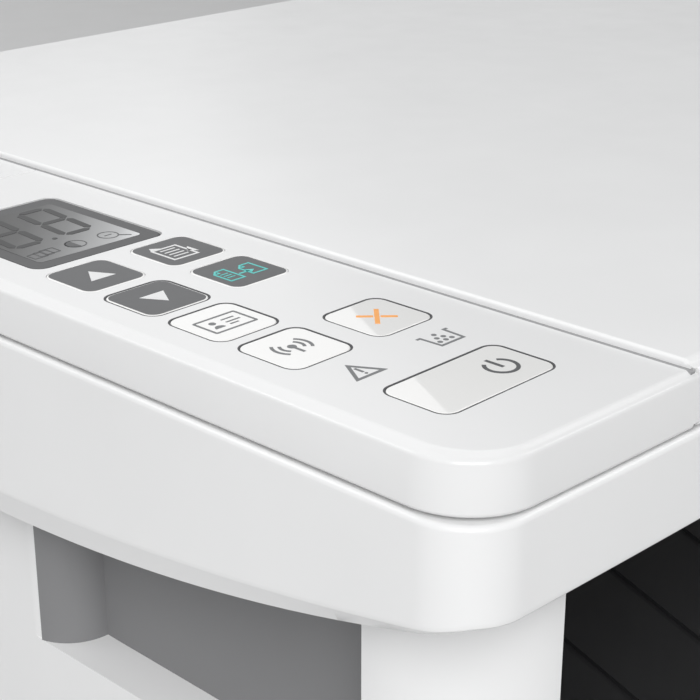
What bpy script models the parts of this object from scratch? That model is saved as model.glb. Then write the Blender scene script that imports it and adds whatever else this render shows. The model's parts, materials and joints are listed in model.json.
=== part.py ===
"""Compact monochrome laser multifunction printer: flatbed scanner with a keypad strip on top, output bin in the
waist, fold-down paper tray at the front, and the print engine inside.

Frame: X to the right, Y to the back, Z up; origin under the middle of the printer, on the surface it stands on.
All named sizes are in millimetres. MM turns them into Blender's metres.
"""

import math

import bmesh
import bpy
from mathutils import Matrix, Vector

MM = 0.001

# ---------------------------------------------------------------- driving sizes
WIDTH = 360.0
DEPTH = 264.0
HEIGHT = 197.0
GAP = 0.4  # running and assembly clearance between neighbouring pieces
WALL = 2.5  # moulded shell thickness

# front bow: the front edge is an arc in plan, deepest in the middle
BOW = 4.5
FRONT = -DEPTH / 2
BACK = DEPTH / 2
HALF_W = WIDTH / 2

# scanner layers, counted down from the top of the lid
LID_PROUD = 1.0
PANEL_Z = HEIGHT - LID_PROUD
PANEL_WALL = 8.7
PANEL_BOTTOM = PANEL_Z - PANEL_WALL
SEAM = 0.6
RIM_Z = PANEL_BOTTOM - SEAM
BASE_FRONT_DEPTH = 15.1
FRONT_LIP_Z = RIM_Z - BASE_FRONT_DEPTH
SKIRT_DEPTH = 30.2
SKIRT_LOW_Z = RIM_Z - SKIRT_DEPTH
LIP_DROP = (4.75, 0.5)  # how far the inner lip hangs below the skirt, along the sides and at the front
LIP_INSET = 0.8
LIP_BACK_Y = BACK - 22.0
SKIRT_FLAT_Y = FRONT + 139.0  # the skirt's lower edge is level behind this, and sweeps up in front of it
SKIRT_SWEEP_Y = FRONT + 7.0
UPPER_CORNER_R = 12.5
LOWER_CORNER_R = 8.5
PAN_Z = SKIRT_LOW_Z + 9.5
PAN_T = 2.5
PAN_FRONT_Y = FRONT + 28.0
PAN_BACK_Y = BACK - 14.0
PAN_LEFT_X = -HALF_W + 46.0
SHELL_T = 2.6
DECK_T = 5.2  # glass frame of the scanner base

# control panel strip
STRIP_W = 48.2
LID_SIDE_GAP = 0.7
STRIP_RIGHT = -HALF_W + STRIP_W - LID_SIDE_GAP
PANEL_BACK_Y = FRONT + 159.2
PANEL_EDGE_W = 2.9
PANEL_EDGE_DROP = 0.7
PANEL_T = 2.2
PANEL_SIDE_SLOPE = 0.9

# keys: two columns, four rows, and one wide key
KEY = 13.4
KEY_R = 2.3
KEY_COLUMN_PITCH = KEY + 4.6
KEY_LEFT_X = -HALF_W + 15.0
KEY_RIGHT_X = KEY_LEFT_X + KEY_COLUMN_PITCH
KEY_ROW_PITCH = KEY + 2.35
KEY_ROW_1 = FRONT + 98.7
KEY_TRAVEL = 0.6
KEY_SLOT = 0.3
POWER_KEY = (25.4, 13.0)
POWER_KEY_POS = (-HALF_W + 24.0, FRONT + 25.2)
DISPLAY = (28.2, 33.9)
DISPLAY_POS = (-HALF_W + 23.9, FRONT + 124.7)
DISPLAY_R = 2.4

# platen
GLASS_X = (-HALF_W + 56.0, HALF_W - 6.0)
GLASS_Y = (FRONT + 31.0, BACK - 15.0)
GLASS_T = 2.8
GLASS_LEDGE = 2.5
RAIL_R = 2.5

# scanner lift hinge and lid hinge (both axes run along X)
LIFT_Y = BACK - 8.0
LIFT_Z = SKIRT_LOW_Z - 0.5
LIFT_PIN_R = 3.2
LIFT_LUG_R = 5.0
LID_AXIS_Y = BACK - 6.0
LID_AXIS_Z = RIM_Z + 2.3
LID_PIN_R = 1.8
LID_HINGE_X = (-HALF_W + 92.0, HALF_W - 48.0)
HINGE_STEP_Y = BACK - 10.2
HINGE_STEP_Z = RIM_Z - 6.2

# lower body
BODY_HALF_W = HALF_W - 9.0
BODY_FRONT = FRONT + 10.0
BODY_BACK = BACK - 6.0
BODY_CORNER_R = 22.0
FEET_H = 5.0
FLOOR_T = 3.0
BIN_SIDE_X = BODY_HALF_W - 20.0  # inner face of the side covers, beside the output bin and the paper tray
COVER_TOP = (175.0, 164.5)  # left cover, and right cover under the scanner's pan
REAR_COVER_TOP = 150.0
REAR_COVER_T = 3.1
FRAME_X = BIN_SIDE_X + 5.0  # inner face of the steel side frames
FRAME_T = 2.0
FRAME_OUT_X = FRAME_X + FRAME_T
LIFT_LUG_X = (FRAME_X - 5.5, FRAME_X - 1.5)
FRAME_TOP = 148.0

# grip recess in the left cover: it turns in round a vertical edge of the same radius as its depth
GRIP_DEPTH = 9.5
GRIP_SKIN = 2.0
GRIP_Y = (BODY_FRONT + 22.0, BODY_FRONT + 106.0)
GRIP_LOW_Z = 122.0

# output bin
BIN_SLOPE = math.radians(19.5)
ENGINE_Y = BODY_BACK - 126.0  # datum of the engine's places from front to back
BIN_HINGE_Y = ENGINE_Y + 20.0
BIN_HINGE_Z = 146.0
BIN_FRONT_Y = FRONT + 21.9155
DOOR_LENGTH = (BIN_HINGE_Y - BIN_FRONT_Y) / math.cos(BIN_SLOPE)
BIN_FRONT_Z = BIN_HINGE_Z - DOOR_LENGTH * math.sin(BIN_SLOPE)
DOOR_T = 2.5
BIN_GROOVE_PITCH = 26.0
STOP_FLAP = (64.0, 42.0)

# input tray
TRAY_AXIS_Y = FRONT + 13.5
TRAY_AXIS_Z = 22.0
TRAY_TOP_Z = BIN_FRONT_Z - 5.9347  # under the output bin's front edge
TRAY_FRONT_Y = FRONT + 7.5
TRAY_T = 3.5
TRAY_PIN_R = 1.9
TRAY_HEEL = 3.0  # how far the tray reaches below its hinge
SILL_TOP_Z = 14.9
DECK_Z = 20.5
PAPER_HALF_W = 105.5
DECK_FRONT_Y = FRONT + 28.0
DECK_BACK_Y = ENGINE_Y + 14.0
DECK_HALF_W = BIN_SIDE_X - 26.0
DOOR_AXIS_Y = BODY_BACK - 3.8  # rear door
DOOR_AXIS_Z = 54.5
REAR_DOOR_HALF_W = BODY_HALF_W - 61.6
REAR_DOOR_TOP = 129.4

# sockets: cut-outs of the rear cover
INLET_X = (-BODY_HALF_W + 31.0, -BODY_HALF_W + 59.0)
INLET_Z = (18.0, 38.0)
PORT_X = (BODY_HALF_W - 53.0, BODY_HALF_W - 40.0)
PORT_Z = (22.0, 33.6)
SOCKET_GAP = 0.3

# print engine: centres are (Y, Z)
DRUM_C = (ENGINE_Y + 40.0, 72.0)
DRUM_R = 12.0
TRANSFER_R = 7.2
DEVELOPER_R = 5.5
DEVELOPER_ANGLE = math.radians(195.0)
HEAT_C = (ENGINE_Y + 98.0, 74.0)
HEAT_R = 9.0
PRESS_R = 9.0
NIP = 0.4
PICKUP_R = 10.0
PICKUP_ANGLE = math.radians(223.0)
PICKUP_REACH = 39.0  # from the drum's centre
EXIT_C = (ENGINE_Y + 33.0, 145.0)
EXIT_R = 5.0
SHAFT_R = 3.0
BEARING_R = SHAFT_R + GAP
CARTRIDGE_X = FRAME_X - 30.0
ROLL_HALF_W = CARTRIDGE_X - 14.0  # the drum and the fuser rollers

# gear train, one module, outside the right-hand frame
MODULE = 1.5
TEETH = {"pinion": 10, "drive": 40, "drum": 34, "idler": 22, "fuser": 16, "pickup": 12, "feed": 10}
DRIVE_ANGLE = math.radians(160.0)
MOTOR_ANGLE = math.radians(215.0)
GEAR_X = FRAME_OUT_X + 1.0
GEAR_W = 2.6
LAYER = GEAR_W + 0.6
BELT_W = 2.4
PULLEY_R = (8.0, 6.0)  # on the fuser shaft and on the exit roller
BELT_T = 1.2


# ---------------------------------------------------------------- helpers
def fresh_scene():
    for obj in list(bpy.data.objects):
        bpy.data.objects.remove(obj)
    made = bpy.data.collections.new("laser_multifunction_printer")
    bpy.context.scene.collection.children.link(made)
    return made


PRINTER = fresh_scene()
MATERIALS = {}


def material(name, colour, roughness, metallic=0.0):
    if name not in MATERIALS:
        made = bpy.data.materials.new(name)
        made.use_nodes = True
        shader = made.node_tree.nodes["Principled BSDF"]
        shader.inputs["Base Color"].default_value = (*colour, 1.0)
        shader.inputs["Roughness"].default_value = roughness
        shader.inputs["Metallic"].default_value = metallic
        MATERIALS[name] = made
    return MATERIALS[name]


def white():
    return material("white_shell", (0.83, 0.83, 0.83), 0.35)


def black():
    return material("black_plastic", (0.02, 0.02, 0.022), 0.45)


def grey():
    return material("grey_plastic", (0.12, 0.12, 0.125), 0.5)


def steel():
    return material("zinc_steel", (0.62, 0.63, 0.65), 0.35, 0.9)


def rubber():
    return material("rubber", (0.03, 0.03, 0.03), 0.8)


def gear_white():
    return material("gear_plastic", (0.75, 0.74, 0.70), 0.45)


def circuit():
    return material("circuit_board", (0.03, 0.16, 0.07), 0.5)


def scratch_object(mesh):
    obj = bpy.data.objects.new("scratch", mesh)
    PRINTER.objects.link(obj)
    return obj


def from_bmesh(bm):
    bmesh.ops.scale(bm, vec=(MM, MM, MM), verts=bm.verts)
    bmesh.ops.recalc_face_normals(bm, faces=bm.faces)
    mesh = bpy.data.meshes.new("scratch")
    bm.to_mesh(mesh)
    bm.free()
    return scratch_object(mesh)


def block(low, high, radius=0.0, axis="Z", segments=4):
    """A box between two corners. radius rounds the four edges that run along axis."""
    bm = bmesh.new()
    bmesh.ops.create_cube(bm, size=1.0)
    size = [b - a for a, b in zip(low, high)]
    middle = [(a + b) / 2 for a, b in zip(low, high)]
    bmesh.ops.scale(bm, vec=size, verts=bm.verts)
    bmesh.ops.translate(bm, vec=middle, verts=bm.verts)
    if radius:
        k = "XYZ".index(axis)
        edges = [e for e in bm.edges if abs((e.verts[0].co - e.verts[1].co)[k]) > 0.9 * size[k]]
        bmesh.ops.bevel(bm, geom=edges, offset=radius, segments=segments, affect="EDGES", profile=0.5)
    return from_bmesh(bm)


def rod(start, end, radius, sides=16):
    """A cylinder between two points, with a flat of its polygon facing down."""
    bm = bmesh.new()
    line = Vector(end) - Vector(start)
    bmesh.ops.create_cone(
        bm, cap_ends=True, segments=sides, radius1=radius, radius2=radius, depth=line.length
    )
    turn = Vector((0, 0, 1)).rotation_difference(line.normalized()).to_matrix().to_4x4()
    place = Matrix.Translation((Vector(start) + Vector(end)) / 2) @ turn
    bmesh.ops.transform(bm, matrix=place, verts=bm.verts)
    return from_bmesh(bm)


def shaft(x0, x1, centre, radius, sides=16):
    return rod((x0, *centre), (x1, *centre), radius, sides)


def prism(points, axis, low, high):
    """A flat outline extruded along an axis. Its points are (Y, Z), (X, Z) or (X, Y) for axis X, Y or Z."""
    curve = bpy.data.curves.new("outline", "CURVE")
    curve.dimensions = "2D"
    curve.fill_mode = "BOTH"
    curve.extrude = (high - low) / 2 * MM
    line = curve.splines.new("POLY")
    line.points.add(len(points) - 1)
    for point, (u, v) in zip(line.points, points):
        point.co = (u * MM, v * MM, 0.0, 1.0)
    line.use_cyclic_u = True
    guide = bpy.data.objects.new("outline", curve)
    PRINTER.objects.link(guide)
    bpy.context.view_layer.update()
    graph = bpy.context.evaluated_depsgraph_get()
    mesh = bpy.data.meshes.new_from_object(guide.evaluated_get(graph))
    bpy.data.objects.remove(guide)
    bm = bmesh.new()
    bm.from_mesh(mesh)
    bmesh.ops.remove_doubles(bm, verts=bm.verts, dist=0.00001)
    middle = (high + low) / 2 * MM
    rows = {
        "X": ((0, 0, 1), (1, 0, 0), (0, 1, 0)),
        "Y": ((1, 0, 0), (0, 0, 1), (0, 1, 0)),
        "Z": ((1, 0, 0), (0, 1, 0), (0, 0, 1)),
    }[axis]
    turn = Matrix(rows).to_4x4()
    turn.translation["XYZ".index(axis)] = middle
    bmesh.ops.transform(bm, matrix=turn, verts=bm.verts)
    bmesh.ops.recalc_face_normals(bm, faces=bm.faces)
    bm.to_mesh(mesh)
    bm.free()
    return scratch_object(mesh)


def turned(profile, x0, centre, steps=20):
    """A solid of revolution about a line along X. The profile is (x from x0, radius) from one end to the other."""
    bm = bmesh.new()
    points = [(profile[0][0], 0.0), *profile, (profile[-1][0], 0.0)]
    verts = [bm.verts.new((r * MM, 0.0, -x * MM)) for x, r in points]
    for a, b in zip(verts, verts[1:]):
        bm.edges.new((a, b))
    mesh = bpy.data.meshes.new("profile")
    bm.to_mesh(mesh)
    bm.free()
    obj = scratch_object(mesh)
    screw = obj.modifiers.new("turn", "SCREW")
    screw.steps = screw.render_steps = steps
    screw.use_merge_vertices = True
    screw.merge_threshold = 0.00001
    bake(obj)
    # the profile ran down -Z, so that its outer side goes from top to bottom; lay it along +X
    place = Matrix.Translation((x0 * MM, centre[0] * MM, centre[1] * MM)) @ Matrix.Rotation(
        -math.pi / 2, 4, "Y"
    )
    obj.data.transform(place)
    return obj


def bake(obj):
    """Applies the object's modifiers to its mesh."""
    bpy.context.view_layer.update()
    graph = bpy.context.evaluated_depsgraph_get()
    mesh = bpy.data.meshes.new_from_object(obj.evaluated_get(graph))
    obj.modifiers.clear()
    obj.data = mesh


def combine(obj, others, operation):
    for other in others:
        change = obj.modifiers.new("combine", "BOOLEAN")
        change.operation = operation
        change.object = other
        bake(obj)
        bpy.data.objects.remove(other)
    return obj


def cut(obj, *tools):
    return combine(obj, tools, "DIFFERENCE")


def join(obj, *others):
    return combine(obj, others, "UNION")


def keep(obj, *others):
    return combine(obj, others, "INTERSECT")


def face_outwards(mesh):
    bm = bmesh.new()
    bm.from_mesh(mesh)
    bmesh.ops.recalc_face_normals(bm, faces=bm.faces)
    if bm.calc_volume(signed=True) < 0:
        bmesh.ops.reverse_faces(bm, faces=bm.faces)
    bm.to_mesh(mesh)
    bm.free()


def finish(name, obj, look, pivot=(0.0, 0.0, 0.0), smooth=35.0):
    """Names the piece, gives it its material and puts its origin at the pivot, its joint's axis if it moves."""
    obj.name = obj.data.name = name
    face_outwards(obj.data)
    obj.data.materials.clear()
    obj.data.materials.append(look)
    place = Vector(pivot) * MM
    obj.data.transform(Matrix.Translation(-place))
    obj.location = place
    obj.data.shade_smooth()
    obj.data.set_sharp_from_angle(angle=math.radians(smooth))
    return obj


def arc(centre, radius, start, end, steps):
    """Points on an arc, from one angle in degrees to another, ends included."""
    out = []
    for i in range(steps + 1):
        a = math.radians(start + (end - start) * i / steps)
        out.append((centre[0] + radius * math.cos(a), centre[1] + radius * math.sin(a)))
    return out


def rounded_rectangle(low, high, radius, steps=4):
    (x0, y0), (x1, y1) = low, high
    r = radius
    return (
        arc((x1 - r, y0 + r), r, -90, 0, steps)
        + arc((x1 - r, y1 - r), r, 0, 90, steps)
        + arc((x0 + r, y1 - r), r, 90, 180, steps)
        + arc((x0 + r, y0 + r), r, 180, 270, steps)
    )


def front_line(x):
    """Y of the bowed front at this X."""
    return FRONT + BOW * (x / HALF_W) ** 2


def plan(x0, x1, back, front_radii, back_radii, inset=0.0, steps=5, bow_steps=8):
    """The scanner's outline in plan between two X, with its bowed front, moved in by inset."""
    x0, x1, back = x0 + inset, x1 - inset, back - inset
    left, right = (max(r - inset, 0.0) for r in front_radii)
    out = []

    def corner(centre, radius, start, end):
        out.extend(arc(centre, radius, start, end, steps) if radius else [centre])

    corner((x0 + left, front_line(x0 + left) + inset + left), left, 180, 270)
    for i in range(1, bow_steps):
        x = x0 + left + (x1 - right - x0 - left) * i / bow_steps
        out.append((x, front_line(x) + inset))
    corner((x1 - right, front_line(x1 - right) + inset + right), right, -90, 0)
    left, right = (max(r - inset, 0.0) for r in back_radii)
    corner((x1 - right, back - right), right, 0, 90)
    corner((x0 + left, back - left), left, 90, 180)
    return out


def skirt_line(y):
    """Z of the skirt's lower edge at this Y: level at the back, and a parabola up to the front."""
    reach = SKIRT_FLAT_Y - SKIRT_SWEEP_Y
    share = min(max((SKIRT_FLAT_Y - y) / reach, 0.0), 1.0)
    return SKIRT_LOW_Z + (FRONT_LIP_Z - SKIRT_LOW_Z) * share**2


def lip_line(y):
    """Z of the inner lip's lower edge at this Y."""
    share = min(max((SKIRT_FLAT_Y - y) / (SKIRT_FLAT_Y - SKIRT_SWEEP_Y), 0.0), 1.0)
    return skirt_line(y) - LIP_DROP[0] + (LIP_DROP[0] - LIP_DROP[1]) * share**3


def sweep_cutter(level, steps=8):
    """Cuts away what hangs below a line (Y, Z) that is level at the back."""
    start, end = SKIRT_SWEEP_Y, SKIRT_FLAT_Y
    ys = [end + (start - end) * i / steps for i in range(steps + 1)]
    outline = [(FRONT - 18, 100), (end, 100), *[(y, level(y)) for y in ys], (FRONT - 18, level(start))]
    return prism(outline, "X", -HALF_W - 20, HALF_W + 20)


def beside(centre, distance, angle):
    return (centre[0] + distance * math.cos(angle), centre[1] + distance * math.sin(angle))


def meshing_centre(a, reach_a, b, reach_b):
    """The lower of the two points at these distances from a and from b."""
    dy, dz = b[0] - a[0], b[1] - a[1]
    d = math.hypot(dy, dz)
    along = (reach_a**2 - reach_b**2 + d**2) / (2 * d)
    off = math.sqrt(reach_a**2 - along**2)
    found = []
    for side in (1, -1):
        y = a[0] + (along * dy - side * off * dz) / d
        z = a[1] + (along * dz + side * off * dy) / d
        found.append((z, y))
    z, y = min(found)
    return (y, z)


PITCH_R = {name: MODULE * count / 2 for name, count in TEETH.items()}
DRIVE_C = beside(DRUM_C, PITCH_R["drum"] + PITCH_R["drive"], DRIVE_ANGLE)
MOTOR_C = beside(DRIVE_C, PITCH_R["drive"] + PITCH_R["pinion"], MOTOR_ANGLE)
PICKUP_C = beside(DRUM_C, PICKUP_REACH, PICKUP_ANGLE)
FEED_C = meshing_centre(
    DRUM_C, PITCH_R["drum"] + PITCH_R["feed"], PICKUP_C, PITCH_R["feed"] + PITCH_R["pickup"]
)
IDLER_C = meshing_centre(
    DRUM_C, PITCH_R["drum"] + PITCH_R["idler"], HEAT_C, PITCH_R["idler"] + PITCH_R["fuser"]
)
TRANSFER_C = (DRUM_C[0], DRUM_C[1] - DRUM_R - TRANSFER_R - NIP)
DEVELOPER_C = beside(DRUM_C, DRUM_R + DEVELOPER_R + NIP, DEVELOPER_ANGLE)
PRESS_C = (HEAT_C[0], HEAT_C[1] - HEAT_R - PRESS_R - NIP)


def mesh_phase(a, phase_a, teeth_a, b, teeth_b):
    """The angle of b's first tooth that puts it in mesh with a, whose first tooth is at phase_a."""
    line = math.atan2(b[1] - a[1], b[0] - a[0])
    step_a, step_b = 2 * math.pi / teeth_a, 2 * math.pi / teeth_b
    share = ((line - phase_a) / step_a) % 1.0
    return line + math.pi - (0.5 - share) * step_b


def gear(x0, width, centre, teeth, phase, bore=0.0):
    """A spur gear with straight flanks and some backlash."""
    pitch = MODULE * teeth / 2
    tip, root = pitch + 0.8 * MODULE, pitch - 1.15 * MODULE
    half_tip, half_root = 0.31 * MODULE / tip, 0.93 * MODULE / root
    points = []
    for i in range(teeth):
        a = phase + 2 * math.pi * i / teeth
        for r, off in ((root, -half_root), (tip, -half_tip), (tip, half_tip), (root, half_root)):
            points.append((centre[0] + r * math.cos(a + off), centre[1] + r * math.sin(a + off)))
    made = prism(points, "X", x0, x0 + width)
    if bore:
        cut(made, shaft(x0 - 1, x0 + width + 1, centre, bore, 16))
    return made


PHASE = {"drum": 0.0}
PHASE["drive"] = mesh_phase(DRUM_C, 0.0, TEETH["drum"], DRIVE_C, TEETH["drive"])
PHASE["pinion"] = mesh_phase(DRIVE_C, PHASE["drive"], TEETH["drive"], MOTOR_C, TEETH["pinion"])
PHASE["feed"] = mesh_phase(DRUM_C, 0.0, TEETH["drum"], FEED_C, TEETH["feed"])
PHASE["pickup"] = mesh_phase(FEED_C, PHASE["feed"], TEETH["feed"], PICKUP_C, TEETH["pickup"])
PHASE["idler"] = mesh_phase(DRUM_C, 0.0, TEETH["drum"], IDLER_C, TEETH["idler"])
PHASE["fuser"] = mesh_phase(IDLER_C, PHASE["idler"], TEETH["idler"], HEAT_C, TEETH["fuser"])


# ---------------------------------------------------------------- chassis
FLOOR_Z = FEET_H + FLOOR_T
STANDING_Z = FLOOR_Z + GAP


def mirrored(x, side):
    """The X range of a piece on the left (side -1) or on the right (side 1)."""
    return tuple(sorted((x[0] * side, x[1] * side)))


def body_plan(half_w, front, back, radius):
    """Outline of the lower body in plan: large corners in front, small ones behind."""
    left = arc((-half_w + radius, front + radius), radius, 180, 270, 6)
    right = arc((half_w - radius, front + radius), radius, -90, 0, 6)
    rear_right = arc((half_w - 3, back - 3), 3, 0, 90, 2)
    rear_left = arc((-half_w + 3, back - 3), 3, 90, 180, 2)
    return left + right + rear_right + rear_left


def base_pan():
    floor = prism(
        body_plan(BODY_HALF_W - GAP, BODY_FRONT + GAP, BODY_BACK - GAP, BODY_CORNER_R), "Z", FEET_H, FLOOR_Z
    )
    x = BIN_SIDE_X - 0.8
    sill = block((-x, TRAY_FRONT_Y, FEET_H), (x, TRAY_FRONT_Y + 5.5, SILL_TOP_Z))
    deck = block((-DECK_HALF_W, DECK_FRONT_Y, FEET_H), (DECK_HALF_W, DECK_BACK_Y, DECK_Z))
    y = DECK_BACK_Y
    outline = [(y - 4, FEET_H), (y + 16, FEET_H), (y + 16, 36), (y + 11, 36), (y, DECK_Z), (y - 4, DECK_Z)]
    ramp = prism(outline, "X", -DECK_HALF_W + 13, DECK_HALF_W - 13)
    riser = block((-x + 0.2, DECK_FRONT_Y - 7, FEET_H), (x - 0.2, DECK_FRONT_Y - 4.5, 19))
    join(floor, sill, deck, ramp, riser)
    x = DECK_HALF_W - WALL
    under_deck = block((-x, DECK_FRONT_Y + WALL, FEET_H - 1), (x, DECK_BACK_Y - 2, DECK_Z - WALL))
    cut(floor, under_deck)
    finish("base_pan", floor, white())


def side_cover(side):
    name = "left_cover" if side < 0 else "right_cover"
    outer = prism(
        body_plan(BODY_HALF_W, BODY_FRONT, BODY_BACK - REAR_COVER_T - GAP, BODY_CORNER_R),
        "Z",
        STANDING_Z,
        COVER_TOP[0],
    )
    x0, x1 = mirrored((BIN_SIDE_X, BODY_HALF_W + 1), side)
    keep(outer, block((x0, FRONT, 0), (x1, BACK, HEIGHT)))
    inner = prism(
        body_plan(BODY_HALF_W - WALL, BODY_FRONT + WALL, BODY_BACK + 10, BODY_CORNER_R - WALL), "Z", 0, 190
    )
    x0, x1 = mirrored((BIN_SIDE_X + WALL, BODY_HALF_W + 1), side)
    keep(inner, block((x0, FRONT, -1), (x1, BACK + 20, HEIGHT)))
    cut(outer, inner)
    # the inner wall stays as a front pillar and beside the output bin
    x0, x1 = mirrored((BIN_SIDE_X - 1, BIN_SIDE_X + WALL + 0.5), side)
    pillar, hinge = DECK_FRONT_Y, BIN_HINGE_Y
    window = [(pillar, -1), (BACK, -1), (BACK, 201), (hinge + 8, 201), (hinge + 8, BIN_HINGE_Z - 10)]
    window += [(hinge - 8, BIN_HINGE_Z - 10), (pillar, TRAY_TOP_Z)]
    cut(outer, prism(window, "X", x0, x1))
    low = block((-HALF_W, PAN_BACK_Y - 6, REAR_COVER_TOP - 1), (HALF_W, BACK + 8, HEIGHT + 3))
    cut(outer, low)
    if side > 0:
        cut(outer, block((BIN_SIDE_X - 11, PAN_FRONT_Y - 2, COVER_TOP[1]), (HALF_W, BACK + 8, HEIGHT + 3)))
    pins = (
        shaft(x0 - 5, x1 + 5, (TRAY_AXIS_Y, TRAY_AXIS_Z), TRAY_PIN_R + GAP, 12),
        shaft(x0 - 5, x1 + 5, (BIN_HINGE_Y, BIN_HINGE_Z), 2.4, 12),
    )
    cut(outer, *pins)
    if side < 0:
        grip_recess(outer)
    finish(name, outer, white())


def grip_recess(cover):
    """A recess high in the left cover, closed on its inside."""
    (y0, y1), x = GRIP_Y, -BODY_HALF_W + GRIP_DEPTH
    low, high = (-BODY_HALF_W + 1, y0 - GRIP_SKIN, GRIP_LOW_Z - GRIP_SKIN), (x + GRIP_SKIN, y1 + 2.5, COVER_TOP[0])
    join(cover, block(low, high))
    edge = arc((x, y1), GRIP_DEPTH, 180, 270, 6)
    outline = [(-BODY_HALF_W - 5, y0), (x, y0), *reversed(edge), (-BODY_HALF_W - 5, y1)]
    return cut(cover, prism(outline, "Z", GRIP_LOW_Z, COVER_TOP[0] + 5))


def rear_cover():
    y0, y1 = BODY_BACK - REAR_COVER_T, BODY_BACK
    plate = block((-BODY_HALF_W, y0, STANDING_Z), (BODY_HALF_W, y1, REAR_COVER_TOP), 1.2, "Z", 2)
    bosses = []
    for side in (-1, 1):
        x0, x1 = mirrored((REAR_DOOR_HALF_W + 0.6, REAR_DOOR_HALF_W + 4.6), side)
        bosses.append(block((x0, y1 - 7.3, DOOR_AXIS_Z - 4.9), (x1, y1 - 0.5, DOOR_AXIS_Z + 5.5)))
    join(plate, *bosses)
    x = REAR_DOOR_HALF_W + 0.6
    opening = block((-x, y1 - 16, DOOR_AXIS_Z - 4.9), (x, y1 + 4, REAR_DOOR_TOP + 0.6))
    inlet = block((INLET_X[0], y1 - 6, INLET_Z[0]), (INLET_X[1], y1 + 4, INLET_Z[1]))
    port = block((PORT_X[0], y1 - 6, PORT_Z[0]), (PORT_X[1], y1 + 4, PORT_Z[1]))
    x = REAR_DOOR_HALF_W + 3.2
    cut(plate, opening, inlet, port, shaft(-x, x, (DOOR_AXIS_Y, DOOR_AXIS_Z), 1.9, 12))
    finish("rear_cover", plate, white())


def rear_door():
    half = REAR_DOOR_HALF_W
    low = DOOR_AXIS_Z - 2.5
    door = block((-half, BODY_BACK - REAR_COVER_T, low), (half, BODY_BACK, REAR_DOOR_TOP))
    lugs = [
        block((x, DOOR_AXIS_Y - 2.6, low), (x + 5, BODY_BACK - 1, low + 5)) for x in (-half, half - 5)
    ]
    pins = shaft(-half - 2.6, half + 2.6, (DOOR_AXIS_Y, DOOR_AXIS_Z), 1.5, 12)
    keep_ends = block((-half + 4, DOOR_AXIS_Y - 10, 40), (half - 4, DOOR_AXIS_Y + 10, 70))
    join(door, *lugs, cut(pins, keep_ends))
    finger = block((-22, BODY_BACK - 1.6, REAR_DOOR_TOP - 7), (22, BODY_BACK + 1, REAR_DOOR_TOP - 3))
    cut(door, finger)
    finish("rear_door", door, white(), (0, DOOR_AXIS_Y, DOOR_AXIS_Z))


def side_frame(side):
    name = "left_frame" if side < 0 else "right_frame"
    x0, x1 = mirrored((FRAME_X, FRAME_X + FRAME_T), side)
    lug = arc((LIFT_Y, LIFT_Z), LIFT_LUG_R, -90, 180, 8)
    front, rear = BODY_FRONT + 22, BODY_BACK - 4.2
    outline = [(front, STANDING_Z), (rear, STANDING_Z), (rear, LIFT_Z - LIFT_LUG_R)]
    outline += lug + [(LIFT_Y - LIFT_LUG_R, FRAME_TOP), (front, FRAME_TOP)]
    frame = prism(outline, "X", x0, x1)
    holes = [shaft(x0 - 5, x1 + 5, (LIFT_Y, LIFT_Z), LIFT_PIN_R + GAP, 16)]
    for centre in (DRUM_C, TRANSFER_C, HEAT_C, PRESS_C, PICKUP_C, EXIT_C):
        holes.append(shaft(x0 - 5, x1 + 5, centre, BEARING_R, 12))
    if side > 0:
        holes.append(shaft(x0 - 5, x1 + 5, MOTOR_C, 2.6, 12))
    cut(frame, *holes)
    if side > 0:
        stubs = [
            shaft(x0 + 0.5, GEAR_X + GEAR_W + 0.8, centre, SHAFT_R, 12) for centre in (DRIVE_C, IDLER_C, FEED_C)
        ]
        join(frame, *stubs)
    finish(name, frame, steel())


def engine_covers():
    x, low = FRAME_OUT_X, FRAME_TOP + GAP
    top = block((-x, ENGINE_Y + 40, low), (x, PAN_BACK_Y - 1, low + WALL))
    finish("top_plate", top, black())
    x, y0, y1, low = 95.0, ENGINE_Y + 44, ENGINE_Y + 112, 108.0
    between = FRAME_X - GAP
    housing = block((-x, y0, low), (x, y1, low + 28), 4.0, "Z", 2)
    bridge = block((-between, y0 + 16, low), (between, y1 - 12, low + WALL))
    join(housing, bridge)
    cut(housing, block((-x + WALL, y0 + WALL, low + WALL), (x - WALL, y1 - WALL, low + 32)))
    finish("laser_housing", housing, grey())
    y, seat = y1 - 22, low + WALL + 0.5
    mirror = rod((0, y, seat + 5), (0, y, seat + 10), 14, 6)
    hub = rod((0, y, seat), (0, y, seat + 12), 5, 12)
    finish("polygon_mirror", join(mirror, hub), steel(), (0, y, 0))
    y0, y1 = HEAT_C[0] - 15, HEAT_C[0] + 15
    inner, under, over = HEAT_C[0] - 12.5, HEAT_C[1] + 14, HEAT_C[1] + 16.5
    rear = HEAT_C[0] + 12.5
    walls = [(y0, HEAT_C[1] - 4), (inner, HEAT_C[1] - 4), (inner, under), (rear, under)]
    walls += [(rear, HEAT_C[1] + 4), (y1, HEAT_C[1] + 4), (y1, over), (y0, over)]
    finish("fuser_frame", prism(walls, "X", -between, between), grey())
    y = ENGINE_Y + 50
    chute = [(y, 38), (y + 1.8, 38), (y + 1.8, 52.6), (y + 36, 58.6), (y + 36, 60.4), (y, 54.1)]
    finish("paper_chute", prism(chute, "X", -between, between), black())


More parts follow.
